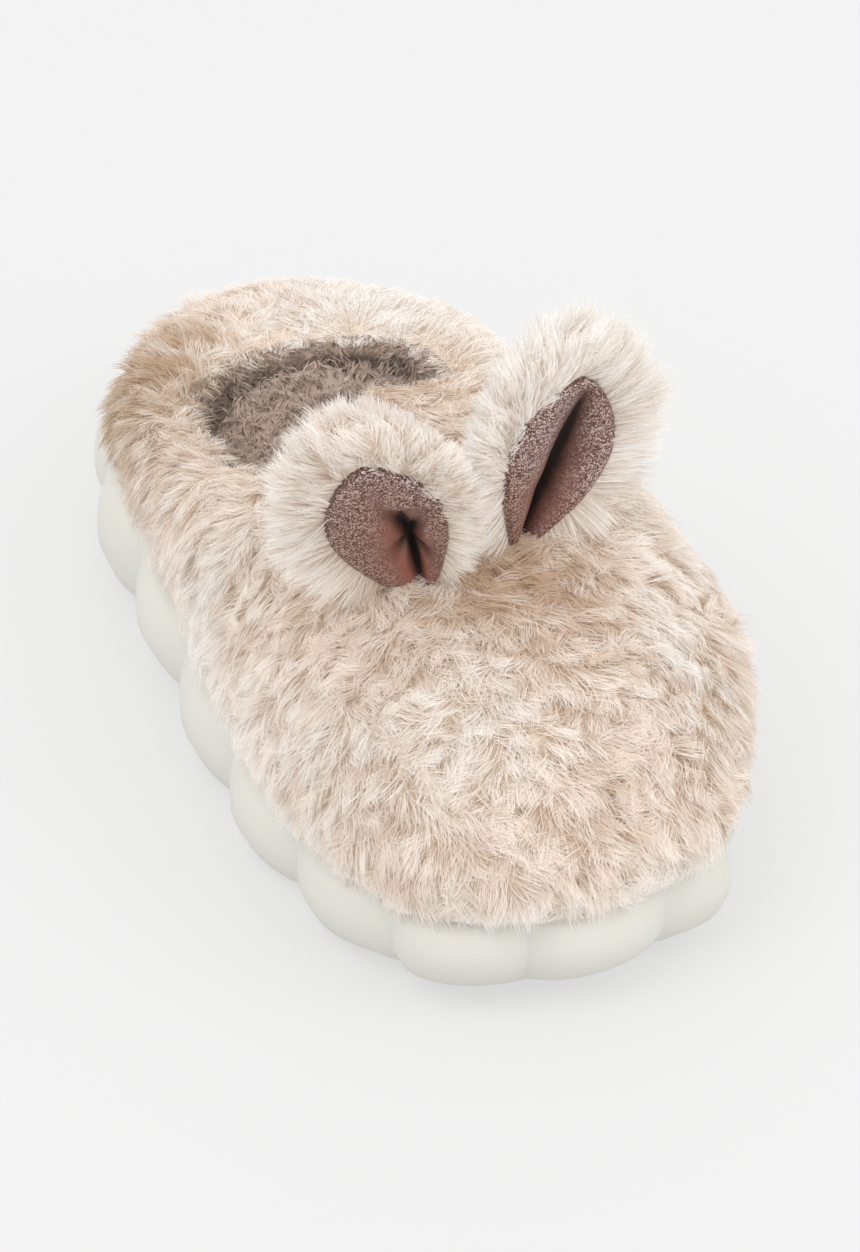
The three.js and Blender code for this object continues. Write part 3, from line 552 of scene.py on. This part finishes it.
def grow(root, normal, flow, length, rise, clump, pile, made):
    """Stations, side vectors and shading normals of strands gathered into clumps."""
    count = len(root)
    start = unit(normal * rise[0] + flow[0])
    end = unit(normal * rise[1] + flow[1])
    stations = np.empty((count, len(STATIONS), 3))
    for k, t in enumerate(STATIONS):
        stations[:, k] = root + length[:, None] * (start * t + (end - start) * t * t / 2)
        stations[:, k, 2] -= pile["droop"] * length * t * t
    leaders, owner = clump
    target = stations[leaders[owner]]
    pull = pile["pull"] * STATIONS ** PULL_FADE
    gathered = stations + (target - stations) * pull[None, :, None]
    gathered[:, 0] = root
    tangent = unit(np.gradient(gathered, axis=1))
    roll = made.uniform(-STRAND_ROLL, STRAND_ROLL, count)[:, None]
    facing = unit(normal * np.cos(roll) + unit(np.cross(normal, flow[0])) * np.sin(roll))
    side = unit(np.cross(tangent, facing[:, None, :]))
    breadth = pile["half_width"] * made.uniform(*STRAND_WIDTHS, count)
    sides = side * (breadth[:, None] * TAPER)[:, :, None]
    flat = np.cross(side, tangent)
    flat *= np.where(dot(flat, normal[:, None, :]) < 0, -1, 1)
    shading = unit(flat * FLAT_SHARE + normal[:, None, :] * GROUND_SHARE)
    return gathered, sides, shading


def fur_colours(owner, tone, white, made):
    """Colours at the stations of each strand, darker at its root: partly the pile's own tan and brown,
    partly painted shade down among the strands.
    """
    count = len(tone)
    astray = made.normal(scale=TONE_SCATTER, size=count)
    tone = np.clip(tone + astray + made.normal(scale=CLUMP_TONE_SCATTER, size=count)[owner], 0, 1)
    tip = CREAM + (WHITE - CREAM) * white[:, None]
    tip = tip + (TAN - tip) * (tone * (0.7 + 0.35 * tone))[:, None]
    # Tan and brown towards the root: partly the pile's own colour, partly painted shade between the strands.
    root = tip + (TAN - tip) * (0.65 - 0.45 * white)[:, None]
    root = root + (BROWN - root) * ((0.14 + tone * 0.75) * (1 - 0.7 * white))[:, None]
    shade = made.uniform(*SHADE_SPREAD, count)[:, None, None]
    return np.clip((root[:, None, :] * (1 - FUR_STEPS) + tip[:, None, :] * FUR_STEPS) * shade, 0, 1)


# Materials
FACTOR, FIRST_COLOUR, SECOND_COLOUR, MIXED_COLOUR = 0, 6, 7, 2


def new_material(name):
    material = bpy.data.materials.new(name)
    material.use_nodes = True
    tree = material.node_tree
    return material, tree.nodes, tree.links, tree.nodes["Principled BSDF"]


def object_place(nodes):
    return nodes.new("ShaderNodeTexCoord").outputs["Object"]


def mesh_tint(nodes):
    tint = nodes.new("ShaderNodeVertexColor")
    tint.layer_name = "tint"
    return tint.outputs["Color"]


def noise(nodes, links, place, scale, detail):
    texture = nodes.new("ShaderNodeTexNoise")
    texture.inputs["Scale"].default_value = scale
    texture.inputs["Detail"].default_value = detail
    links.new(place, texture.inputs["Vector"])
    return texture.outputs["Fac"]


def cells(nodes, links, place, scale):
    texture = nodes.new("ShaderNodeTexVoronoi")
    texture.inputs["Scale"].default_value = scale
    links.new(place, texture.inputs["Vector"])
    return texture


def remap(nodes, links, value, source, target):
    """A value brought from the source range to the target range."""
    ranged = nodes.new("ShaderNodeMapRange")
    for socket, number in zip(("From Min", "From Max", "To Min", "To Max"), (*source, *target)):
        ranged.inputs[socket].default_value = number
    links.new(value, ranged.inputs["Value"])
    return ranged.outputs["Result"]


def mixed(nodes, links, share, first, second):
    """A mix of two colours, each a fixed colour or what another node gives."""
    mix = nodes.new("ShaderNodeMix")
    mix.data_type = "RGBA"
    links.new(share, mix.inputs[FACTOR])
    for socket, colour in ((FIRST_COLOUR, first), (SECOND_COLOUR, second)):
        if isinstance(colour, tuple):
            mix.inputs[socket].default_value = (*colour, 1)
        else:
            links.new(colour, mix.inputs[socket])
    return mix.outputs[MIXED_COLOUR]


def multiplied(nodes, links, first, second):
    mix = nodes.new("ShaderNodeMix")
    mix.data_type = "RGBA"
    mix.blend_type = "MULTIPLY"
    mix.inputs[FACTOR].default_value = 1
    links.new(first, mix.inputs[FIRST_COLOUR])
    links.new(second, mix.inputs[SECOND_COLOUR])
    return mix.outputs[MIXED_COLOUR]


def raise_bumps(nodes, links, shader, height, distance, strength):
    bump = nodes.new("ShaderNodeBump")
    bump.inputs["Strength"].default_value = strength
    bump.inputs["Distance"].default_value = distance
    links.new(height, bump.inputs["Height"])
    links.new(bump.outputs["Normal"], shader.inputs["Normal"])


def fur_material(name, through_share, painted_glow):
    """Strands in the tint of their mesh, which let light through and glow a little: painted light standing
    in for light scattered within the pile.
    """
    material, nodes, links, shader = new_material(name)
    speck = nodes.new("ShaderNodeTexNoise")
    speck.inputs["Scale"].default_value = 900
    tone = nodes.new("ShaderNodeVectorMath")
    tone.operation = "SCALE"
    links.new(mesh_tint(nodes), tone.inputs[0])
    links.new(remap(nodes, links, speck.outputs["Fac"], (0, 1), (0.9, 1.1)), tone.inputs["Scale"])
    links.new(tone.outputs["Vector"], shader.inputs["Base Color"])
    links.new(tone.outputs["Vector"], shader.inputs["Emission Color"])
    shader.inputs["Roughness"].default_value = 0.75
    shader.inputs["Specular IOR Level"].default_value = 0.25
    shader.inputs["Sheen Weight"].default_value = 0.25
    shader.inputs["Sheen Roughness"].default_value = 0.5
    shader.inputs["Emission Strength"].default_value = painted_glow
    through = nodes.new("ShaderNodeBsdfTranslucent")
    links.new(tone.outputs["Vector"], through.inputs["Color"])
    mix = nodes.new("ShaderNodeMixShader")
    mix.inputs[0].default_value = through_share
    links.new(shader.outputs[0], mix.inputs[1])
    links.new(through.outputs[0], mix.inputs[2])
    links.new(mix.outputs[0], nodes["Material Output"].inputs["Surface"])
    return material


def pile_ground(name, low, high, scale, depth):
    """Ground cloth under a pile: mottled colour with a knotted bump."""
    material, nodes, links, shader = new_material(name)
    place = object_place(nodes)
    patches = noise(nodes, links, place, scale * 0.3, 6)
    links.new(mixed(nodes, links, patches, low, high), shader.inputs["Base Color"])
    knots = cells(nodes, links, place, scale)
    raise_bumps(nodes, links, shader, knots.outputs["Distance"], depth, 1.0)
    shader.inputs["Roughness"].default_value = 0.95
    shader.inputs["Sheen Weight"].default_value = 0.2
    return material


def foam_material():
    """Matte moulded foam: fine skin grain, faint clouding, a little darker near the floor."""
    material, nodes, links, shader = new_material("ivory_foam")
    place = object_place(nodes)
    cloud = noise(nodes, links, place, 28, 4)
    tone = mixed(nodes, links, cloud, FOAM_DARK, FOAM_LIGHT)
    parts = nodes.new("ShaderNodeSeparateXYZ")
    links.new(place, parts.inputs[0])
    # Darker towards the floor, over the lowest 6 mm of the foam.
    near_floor = remap(nodes, links, parts.outputs["Z"], (0.0, 0.006), (0.35, 0.0))
    links.new(mixed(nodes, links, near_floor, tone, FOAM_NEAR_FLOOR), shader.inputs["Base Color"])
    grain = noise(nodes, links, place, 1400, 3)
    raise_bumps(nodes, links, shader, grain, 0.0003, 0.35)
    links.new(remap(nodes, links, cloud, (0, 1), (0.5, 0.66)), shader.inputs["Roughness"])
    shader.inputs["Subsurface Weight"].default_value = 0.15
    shader.inputs["Subsurface Scale"].default_value = 0.004
    return material


def glitter_material():
    """Reddish brown net with silver flakes. The mesh's tint holds painted shade for the crease and folds in
    red, and glint in green.
    """
    material, nodes, links, shader = new_material("glitter_mesh")
    place = object_place(nodes)
    flakes = nodes.new("ShaderNodeSeparateColor")
    links.new(cells(nodes, links, place, 3700).outputs["Color"], flakes.inputs[0])
    tint = nodes.new("ShaderNodeSeparateColor")
    links.new(mesh_tint(nodes), tint.inputs[0])
    light, glint = tint.outputs["Red"], tint.outputs["Green"]
    sparkle = nodes.new("ShaderNodeMath")
    sparkle.operation = "MULTIPLY"
    links.new(remap(nodes, links, flakes.outputs["Red"], (0.5, 0.85), (0, 1)), sparkle.inputs[0])
    links.new(glint, sparkle.inputs[1])
    net = mixed(nodes, links, noise(nodes, links, place, 60, 5), NET_DARK, NET_LIGHT)
    net = mixed(nodes, links, glint, net, NET_BY_FLAKES)
    colour = mixed(nodes, links, sparkle.outputs[0], net, FLAKE)
    # The colour is darkened by the painted shade kept in the tint's red channel.
    links.new(multiplied(nodes, links, colour, light), shader.inputs["Base Color"])
    links.new(sparkle.outputs[0], shader.inputs["Metallic"])
    raise_bumps(nodes, links, shader, flakes.outputs["Green"], 0.0006, 0.9)
    links.new(remap(nodes, links, light, (0, 1), (0.9, 0.35)), shader.inputs["Roughness"])
    return material


# Upper: ground cloth and lining as one closed wall
def make_upper_wall(ground, lining):
    outer = skin_rows(outer_skin, ring, np.linspace(0, 1, OUTER_LEVELS))
    lip = skin_rows(lip_skin, ring, np.radians(WALL_LIP_TURNS))
    inner = skin_rows(inner_skin, ring, np.linspace(1, 0, INNER_LEVELS))
    rows = np.stack(outer + lip + inner)
    levels = range(len(rows))
    faces = [quad(i, j, len(rows), RING_STEPS) for i in levels for j in range(RING_STEPS)]
    slots = [0 if i < len(outer) else 1 for i in levels for j in range(RING_STEPS)]
    wall = mesh_object("upper_wall", rows.reshape(-1, 3), faces, [ground, lining])
    wall.data.polygons.foreach_set("material_index", slots)
    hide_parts("upper")


# Long pile on the outside of the upper
def outer_pile_grid():
    """Points over the outside and the lip's crest, with their normals and the way down."""
    rows = skin_rows(outer_skin, grid_around, np.linspace(PILE_LOWEST_CLIMB, 1, PILE_LEVELS))
    rows += skin_rows(lip_skin, grid_around, np.radians(PILE_LIP_TURNS))
    grid = np.stack(rows)
    row_step = np.gradient(grid, axis=0)
    col_step = np.gradient(grid, axis=1)
    col_step[:, 0] = col_step[:, -1] = (grid[:, 1] - grid[:, -2]) / 2
    return grid, unit(np.cross(col_step, row_step)), -unit(row_step)


def comb_upper(root, normal, down, made):
    """Clumps, and the way that each strand lies at its root and at its tip."""
    cross_way = np.cross(normal, down)
    angle = LIE_TURN * turning(root) + LIE_RUFFLE * ruffling(root)
    angle += made.normal(scale=LIE_SCATTER, size=len(root))
    leaders, owner = clumps_of(root, PILES["upper"], made)
    angle += made.normal(scale=CLUMP_SCATTER, size=len(leaders))[owner]
    bend = made.normal(scale=CLUMP_BEND, size=len(leaders))[owner]
    bend += made.normal(scale=STRAND_BEND, size=len(root))
    flow = [unit(down * np.cos(a)[:, None] + cross_way * np.sin(a)[:, None]) for a in (angle, angle + bend)]
    return (leaders, owner), flow


def cut_upper(root, climb, inward, clump, made):
    """Length of each strand, and how steeply it rises from the cloth."""
    leaders, owner = clump
    low_down = ramp(climb, 0, LOW_BAND)
    heel = ramp(root[:, 1], *HEEL_ALONG) * ramp(root[:, 0], *HEEL_ACROSS)
    length = UPPER_STRAND * made.uniform(*UPPER_STRAND_SPREAD, len(root)) * (1 + 0.1 * ruffling(root))
    length *= at_least(LOW_LENGTH, low_down) * (1 - HEEL_SHORTER * heel)
    length *= np.where(inward, INWARD_LENGTH + INWARD_OUTER_MORE * ramp(-root[:, 0], 0, 30), 1)
    for change, centre, size in LENGTH_ZONES:
        length *= 1 + change * zone(root, centre, size)
    tuft = made.uniform(*TUFT_SPREAD, len(leaders))[owner]
    ragged = zone(root, *RAGGED_HEEL) * (tuft > RAGGED_TUFT)
    length *= 1 + RAGGED_LONGER * ragged
    rising = (0.25 + 0.5 * low_down) * (1 - CREST_FLATTER * ramp(climb, *CREST_BAND))
    rising *= tuft * (1 - HEEL_FLATTER * heel) * (1 - OUTER_HEEL_FLATTER * zone(root, *OUTER_HEEL))
    rising *= 1 + RAGGED_STEEPER * ragged
    return length, rising


def rest_on_sole(stations, around):
    """Keeps the strands that lie over the sole's rim from sinking into it."""
    spine, outwards, foot = section_frame(around)
    for k in range(stations.shape[1]):
        reach = ((stations[:, k, :2] - spine) * outwards).sum(-1)
        over_sole = reach < foot + RIM_REACH
        lowest = np.maximum(stations[:, k, 2], sole_top(stations[:, k, 1]) + SOLE_CLEARANCE)
        stations[:, k, 2] = np.where(over_sole, lowest, stations[:, k, 2])


def colour_upper(root, climb, owner, made):
    fringe = 1 - ramp(climb, 0, 0.1)
    specks = speckle(root)
    tone = 0.16 + 0.12 * blotches(root) + 0.18 * specks
    for strength, speckled, centre, size in TAN_ZONES:
        tone += (strength + speckled * specks) * zone(root, centre, size)
    tone = np.clip(tone, 0, 1) - 0.3 * fringe
    white = 0.3 + 0.25 * blotches(root + 31) + 0.5 * fringe
    for strength, centre, size in WHITE_ZONES:
        white += strength * zone(root, centre, size)
    colours = fur_colours(owner, tone, np.clip(white, 0, 1), made)
    return colours * (1 - zone(root, *OUTER_HEEL)[:, None, None] * OUTER_HEEL_DARKER)


def make_upper_pile(material, made):
    pile = PILES["upper"]
    grid, grid_normal, grid_down = outer_pile_grid()
    row, col = sample_grid(grid, pile["strands"], made)
    root = on_grid(grid, row, col)
    normal = unit(on_grid(grid_normal, row, col))
    down = unit(on_grid(grid_down, row, col))
    down = unit(down - normal * dot(down, normal))
    parting = row + PARTING_RUFFLE * ruffling(root) + made.normal(scale=PARTING_SCATTER, size=len(root))
    inward = parting > PARTING_LEVEL
    down = np.where(inward[:, None], -down, down)
    climb = row / PILE_LEVELS
    clump, flow = comb_upper(root, normal, down, made)
    length, rising = cut_upper(root, climb, inward, clump, made)
    rise = (rising[:, None], rising[:, None] * 0.3)
    strands = grow(root, normal, flow, length, rise, clump, pile, made)
    rest_on_sole(strands[0], number_on_grid(np.broadcast_to(grid_around, grid.shape[:2]), row, col))
    colours = colour_upper(root, climb, clump[1], made)
    order = np.argsort(root[:, 1])
    for part, chosen in enumerate(np.array_split(order, UPPER_PIECES)):
        piece = strand_object(f"upper_pile_{part + 1}", strands, chosen, colours, material)


# Short curled pile inside the collar and on the footbed
def inside_loop(points, loop):
    """Which points a closed loop holds, by counting the sides that each has to its right."""
    after = np.roll(loop, -1, axis=0)
    passed = (loop[:, 1] > points[:, 1:2]) != (after[:, 1] > points[:, 1:2])
    slope = (after[:, 0] - loop[:, 0]) / (after[:, 1] - loop[:, 1] + 1e-9)
    passed &= points[:, 0:1] < loop[:, 0] + (points[:, 1:2] - loop[:, 1]) * slope
    return passed.sum(1) % 2 == 1


def collar_roots(made):
    """Roots and normals on the lining, as far forward as it can be seen."""
    rows = skin_rows(lip_skin, grid_around, np.radians(LINING_LIP_TURNS))
    rows += skin_rows(inner_skin, grid_around, np.linspace(1, LINING_LOWEST_CLIMB, LINING_LEVELS))
    grid = np.stack(rows)
    grid_normal = unit(np.cross(np.gradient(grid, axis=1), np.gradient(grid, axis=0)))
    seen = (grid[:-1, :-1, 1] > LINING_SEEN_FROM).astype(float)
    row, col = sample_grid(grid, PILES["lining"]["strands"], made, seen)
    return on_grid(grid, row, col), unit(on_grid(grid_normal, row, col))


def bed_roots(made):
    """Roots on the footbed, inside the foot of the lining."""
    spine, outwards, foot = section_frame(ring)
    loop = spine + outwards * (foot - column("pad", ring) * COLLAR_PAD - BED_MARGIN)[:, None]
    low, high = (-BED_HALF_WIDTH, LINING_SEEN_FROM, 0), (BED_HALF_WIDTH, BED_BACK, 0)
    bed = made.uniform(low, high, (BED_STRANDS * 4, 3))
    bed = bed[inside_loop(bed, loop)][:BED_STRANDS]
    bed[:, 2] = sole_top(bed[:, 1]) + INSOLE_THICKNESS
    return bed


def make_lining_pile(material, made):
    pile = PILES["lining"]
    root, normal = collar_roots(made)
    bed = bed_roots(made)
    root = np.concatenate([root, bed])
    normal = np.concatenate([normal, np.tile([0.0, 0.0, 1.0], (len(bed), 1))])
    wander = unit(made.normal(size=root.shape))
    flow = [unit(wander - normal * dot(wander, normal))] * 2
    clump = clumps_of(root, pile, made)
    length = made.uniform(*LINING_STRAND_LENGTHS, len(root))
    strands = grow(root, normal, flow, length, LINING_STRAND_RISE, clump, pile, made)
    astray = made.normal(scale=LINING_TONE_SCATTER, size=len(root))[clump[1]]
    mottle = np.clip(0.5 + 0.18 * speckle(root) + astray, 0, 1)
    dark, pale = TAUPE_LOW * 1.4, TAUPE_HIGH * 1.2
    tips = dark + (pale - dark) * mottle[:, None]
    # Darker towards the root: painted shade down among the curls.
    colours = tips[:, None, :] * (0.55 + 0.45 * LINING_STEPS)
    piece = strand_object("lining_pile", strands, slice(None), colours, material)


# Shape of the ears
def seat_ear(ear):
    """Where an ear stands on the upper: its seat, its axis, and the directions to its front and side."""
    outward = math.radians(ear["outward"]) * ear["side"]
    forward = math.radians(ear["forward"])
    turn = math.radians(ear["face"])
    axis = unit(np.array([math.sin(outward), -math.sin(forward), math.cos(outward)]))
    facing = np.array([math.sin(turn), -math.cos(turn), 0.0])
    front = unit(facing - axis * facing.dot(axis))
    climb, around = np.meshgrid(np.linspace(SEAT_SEARCH_FROM, 1, 81), np.linspace(0, 1, 161), indexing="ij")
    skin = outer_skin(around, climb).reshape(-1, 3)
    near = np.argmin(np.hypot(skin[:, 0] - ear["seat"][0], skin[:, 1] - ear["seat"][1]))
    return {"seat": np.array([*ear["seat"], skin[near, 2]]), "axis": axis, "front": front,
            "across": np.cross(axis, front)}


def ear_half_width(along):
    past = np.maximum(along - EAR_WIDEST_AT, 0) / (1 - EAR_WIDEST_AT)
    upper_part = np.sqrt(np.maximum(0, 1 - past**2))
    widening = np.sin(np.clip(along, 0, EAR_WIDEST_AT) / EAR_WIDEST_AT * math.pi / 2)
    lower_part = at_least(EAR_SEAT_WIDTH_SHARE, widening)
    return EAR_WIDTH / 2 * np.where(along > EAR_WIDEST_AT, upper_part, lower_part)


def ear_half_thickness(along, across):
    rim = np.sqrt(np.maximum(0, 1 - across**2))
    tip = np.sqrt(np.maximum(0, 1 - np.maximum(0, (along - 0.5) / 0.5) ** 4))
    thinning = at_least(EAR_RIM_THICKNESS_SHARE, rim) * at_least(EAR_TIP_THICKNESS_SHARE, tip)
    return EAR_THICKNESS / 2 * thinning


def crease(ear, along, across, widen=1.0):
    """Depth of the fold in the front of an ear, from its root to its reach."""
    fade = np.clip(1 - (along / ear["crease"]) ** 2, 0, 1) ** 0.7
    fade *= at_least(ear["root"], ramp(along, 0, 0.3))
    away = np.abs((across - ear["centre"]) / (ear["width"] * widen))
    return CREASE_DEPTH * fade * np.exp(-away ** 1.4)


def ear_point(seated, along, across, depth):
    """A point of an ear by shares of its length and half width, and a depth in millimetres."""
    half = ear_half_width(along)
    fold = EAR_FOLD * (1 - EAR_FOLD_FADE * along) * np.abs(across) ** 1.3 * (half / (EAR_WIDTH / 2))
    return (seated["seat"] + seated["axis"] * (along * EAR_LENGTH)[..., None]
            + seated["across"] * (across * half)[..., None] + seated["front"] * (fold + depth)[..., None])


def patch_rounding(share):
    """Width of the patch towards its round tip, as a share."""
    past = np.maximum(share - PATCH_ROUND_FROM, 0) / PATCH_ROUND_LENGTH
    return np.sqrt(np.maximum(0, 1 - past**2))


def patch_footing(ear, share):
    """Width of the patch towards its foot, as a share."""
    return at_least(ear["foot"], np.sin(ramp(share, 0, PATCH_FOOT_LENGTH) * math.pi / 2))


# Ear pad: a closed body with the fold pressed into its front
def make_ear_pad(name, ear, seated, material):
    turns = np.linspace(0, 2 * math.pi, PAD_TURNS, endpoint=False)
    alongs = np.concatenate([np.linspace(PAD_START, PAD_TIP_FROM, PAD_LEVELS), PAD_TIP_LEVELS])
    along, turn = np.meshgrid(alongs, turns, indexing="ij")
    across, front = np.cos(turn), np.sin(turn)
    pressed = PAD_CREASE_DEEPER * crease(ear, along, across, PAD_CREASE_WIDER)
    depth = ear_half_thickness(along, across) * front - np.where(front > 0, pressed * front, 0)
    body = ear_point(seated, along, across, depth)
    n_rows, n_cols = along.shape
    faces = [quad(i, j, n_rows, n_cols) for i in range(n_rows - 1) for j in range(n_cols)]
    last = (n_rows - 1) * n_cols
    faces += [tuple(range(n_cols - 1, -1, -1)), tuple(range(last, last + n_cols))]
    pad = mesh_object(f"ear_pad_{name}", body.reshape(-1, 3), faces, [material])
    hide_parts(f"ear_{name}")


# Ear patch: a thin sheet with a rolled edge, a deep crease and a star of folds
def make_ear_patch(name, ear, seated, material):
    lengthways, sideways = np.linspace(0, 1, PATCH_ROWS), np.linspace(-1, 1, PATCH_COLUMNS)
    share, side = np.meshgrid(lengthways, sideways, indexing="ij")
    along = PATCH_START + share * PATCH_REACH
    across = side * (PATCH_WIDTH / EAR_WIDTH) * np.maximum(patch_rounding(share), PATCH_TIP_SHARE)
    across *= patch_footing(ear, share)
    right, high = side - ear["centre"] * 1.4, (share - STAR_HEIGHT) * 1.7
    near_star = np.exp(-(right**2 + high**2) / STAR_SPREAD)
    star = np.sin(STAR_FOLDS * np.arctan2(high, right) + STAR_TURN) * near_star
    edge = np.clip((1 - np.maximum(np.abs(side), share**6)) / PATCH_EDGE_WIDTH, 0, 1)
    lift = ear_half_thickness(along, across) * np.sqrt(1 - across**2) + PATCH_STAND_OFF
    lift += PATCH_EDGE_ROUND * np.sqrt(edge) - crease(ear, along, across) + ear["star"] * star
    top = ear_point(seated, along, across, lift)
    under = ear_point(seated, along, across, lift - PATCH_THICKNESS)
    points = np.concatenate([top.reshape(-1, 3), under.reshape(-1, 3)])
    patch = mesh_object(f"ear_mesh_{name}", points, sheet_faces(PATCH_ROWS, PATCH_COLUMNS), [material])
    # Painted shade in the crease and in the star's folds, kept in the tint's red channel; no flakes there.
    shadow = (1.3 * crease(ear, along, across, 0.8) + 1.6 * crease(ear, along, across, 0.4)) / CREASE_DEPTH
    shadow = np.clip(shadow + ear["star"] * 0.6 * np.clip(-star, 0, 1), 0, 1)
    smooth = (0.35 + 0.4 * ear["star"]) * near_star
    glint = np.clip(0.3 + 1.1 * (share - 0.35) + 0.8 * np.abs(side) - smooth, 0, 1)
    shades = np.ones((2, share.size, 4))
    shades[:, :, 0] = 1 - 0.95 * shadow.ravel()
    shades[:, :, 1] = (glint * (1 - shadow)).ravel()
    tint = patch.data.color_attributes.new("tint", "FLOAT_COLOR", "POINT")
    tint.data.foreach_set("color", shades.ravel())
    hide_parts(f"ear_patch_{name}")


# Ear pile: round the rim and over the back, clear of the patch
def make_ear_pile(name, ear, seated, material, made):
    pile = PILES["ear"]
    alongs = np.linspace(*EAR_PILE_SPAN, EAR_PILE_LEVELS)
    along, turn = np.meshgrid(alongs, np.linspace(0, 2 * math.pi, EAR_PILE_TURNS), indexing="ij")
    across, front = np.cos(turn), np.sin(turn)
    grid = ear_point(seated, along, across, ear_half_thickness(along, across) * front)
    middle = ear_point(seated, np.full_like(along, 0.4), across * 0, across * 0)
    grid_normal = unit(np.cross(np.gradient(grid, axis=0), np.gradient(grid, axis=1)))
    grid_normal *= np.where(dot(grid_normal, grid - middle) < 0, -1, 1)
    patch_share = np.clip((along - PATCH_START) / PATCH_REACH, 0, 1)
    patch_edge = PATCH_WIDTH / EAR_WIDTH * patch_rounding(patch_share) * patch_footing(ear, patch_share)
    covered = (front > 0.1) & (np.abs(across) < patch_edge - 0.1)
    row, col = sample_grid(grid, pile["strands"], made, np.where(covered, 0.0, 1.0)[:-1, :-1])
    root = on_grid(grid, row, col)
    normal = unit(on_grid(grid_normal, row, col))
    at_front = np.clip(number_on_grid(front, row, col) * 2.5 + 1, 0, 1)
    none = np.zeros(len(root))
    outward = root - ear_point(seated, 0.3 * at_front - 0.25 * (1 - at_front), none, none)
    outward = unit(outward - seated["front"] * (outward @ seated["front"])[:, None])
    leaders, owner = clumps_of(root, pile, made)
    astray = unit(made.normal(size=(len(leaders), 3)))[owner] * 0.32
    astray += unit(made.normal(size=root.shape)) * 0.2
    flow = [unit(outward - normal * dot(outward, normal) + astray)] * 2
    length = EAR_STRAND * made.uniform(*EAR_STRAND_SPREAD, len(root))
    length *= 1 - ear["trim"] * np.clip(number_on_grid(across, row, col), 0, 1)
    strands = grow(root, normal, flow, length, EAR_STRAND_RISE, (leaders, owner), pile, made)
    # More tan near the ear's seat: partly the pile's own tan, partly painted shade where the ear meets the
    # upper.
    tone = np.clip(0.02 + 0.07 * blotches(root + 90) + 0.35 * zone(root, seated["seat"], (16, 14, 12)), 0, 1)
    colours = fur_colours(owner, tone, np.full(len(root), ear["white"]), made)
    piece = strand_object(f"ear_pile_{name}", strands, slice(None), colours, material)


# Sole and footbed keep their solids, with welded corners for smooth shading
def dress_solid(node, material):
    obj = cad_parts[node]
    obj.data.materials.clear()
    obj.data.materials.append(material)
    obj.data.polygons.foreach_set("use_smooth", [True] * len(obj.data.polygons))
    weld = obj.modifiers.new("weld", "WELD")
    weld.merge_threshold = WELD_DISTANCE
    split = obj.modifiers.new("split", "EDGE_SPLIT")
    split.split_angle = math.radians(SHARP_ANGLE)


# Floor and light
def make_floor():
    material, _, _, shader = new_material("floor")
    shader.inputs["Base Color"].default_value = (0.25, 0.25, 0.25, 1)
    shader.inputs["Emission Color"].default_value = (1, 1, 1, 1)
    shader.inputs["Emission Strength"].default_value = FLOOR_GLOW
    shader.inputs["Roughness"].default_value = 0.9
    shader.inputs["Specular IOR Level"].default_value = 0.1
    mesh = bpy.data.meshes.new("floor")
    far = FLOOR_HALF_WIDTH
    mesh.from_pydata([(-far, -far, 0), (far, -far, 0), (far, far, 0), (-far, far, 0)], [], [(0, 1, 2, 3)])
    mesh.materials.append(material)
    floor = bpy.data.objects.new("floor", mesh)
    bpy.context.scene.collection.objects.link(floor)


def area_light(name, place, size, power):
    data = bpy.data.lights.new(name, "AREA")
    data.shape = "DISK"
    data.size = size
    data.energy = power
    lamp = bpy.data.objects.new(name, data)
    bpy.context.scene.collection.objects.link(lamp)
    lamp.location = place
    lamp.rotation_euler = (-Vector(place)).to_track_quat("-Z", "Y").to_euler()


def make_sky():
    world = bpy.data.worlds.new("world")
    bpy.context.scene.world = world
    world.use_nodes = True
    background = world.node_tree.nodes["Background"]
    background.inputs["Color"].default_value = (1, 1, 1, 1)
    background.inputs["Strength"].default_value = SKY_STRENGTH
    bpy.context.scene.view_settings.view_transform = "Standard"


# The whole model, in the order in which the random draws are made
# Each pile glows by its last number: painted light for light scattered through it; the ear pile glows most,
# painted light that lifts the medial ear.
fur = fur_material("long_pile", 0.45, 0.18)
ear_fur = fur_material("ear_pile", 0.45, 0.215)
curl = fur_material("lining_pile", 0.1, 0.12)
plush_ground = pile_ground("plush_ground", (0.62, 0.49, 0.37), (0.80, 0.69, 0.57), 260, 0.0008)
ear_ground = pile_ground("ear_ground", (0.78, 0.69, 0.59), (0.90, 0.84, 0.76), 300, 0.0006)
lining_ground = pile_ground("lining_ground", tuple(TAUPE_LOW), tuple(TAUPE_HIGH), 420, 0.0012)
glitter = glitter_material()

ring = np.arange(RING_STEPS) / RING_STEPS
grid_around = np.linspace(0, 1, PILE_COLUMNS)
draws = np.random.default_rng(SEED)
make_camera()
make_upper_wall(plush_ground, lining_ground)
make_upper_pile(fur, draws)
make_lining_pile(curl, draws)
for ear_name, ear_shape in EARS.items():
    ear_seat = seat_ear(ear_shape)
    make_ear_pad(ear_name, ear_shape, ear_seat, ear_ground)
    make_ear_patch(ear_name, ear_shape, ear_seat, glitter)
    make_ear_pile(ear_name, ear_shape, ear_seat, ear_fur, draws)
dress_solid("sole", foam_material())
dress_solid("insole", lining_ground)
make_floor()
for light_name, light in LIGHTS.items():
    area_light(light_name, *light)
make_sky()
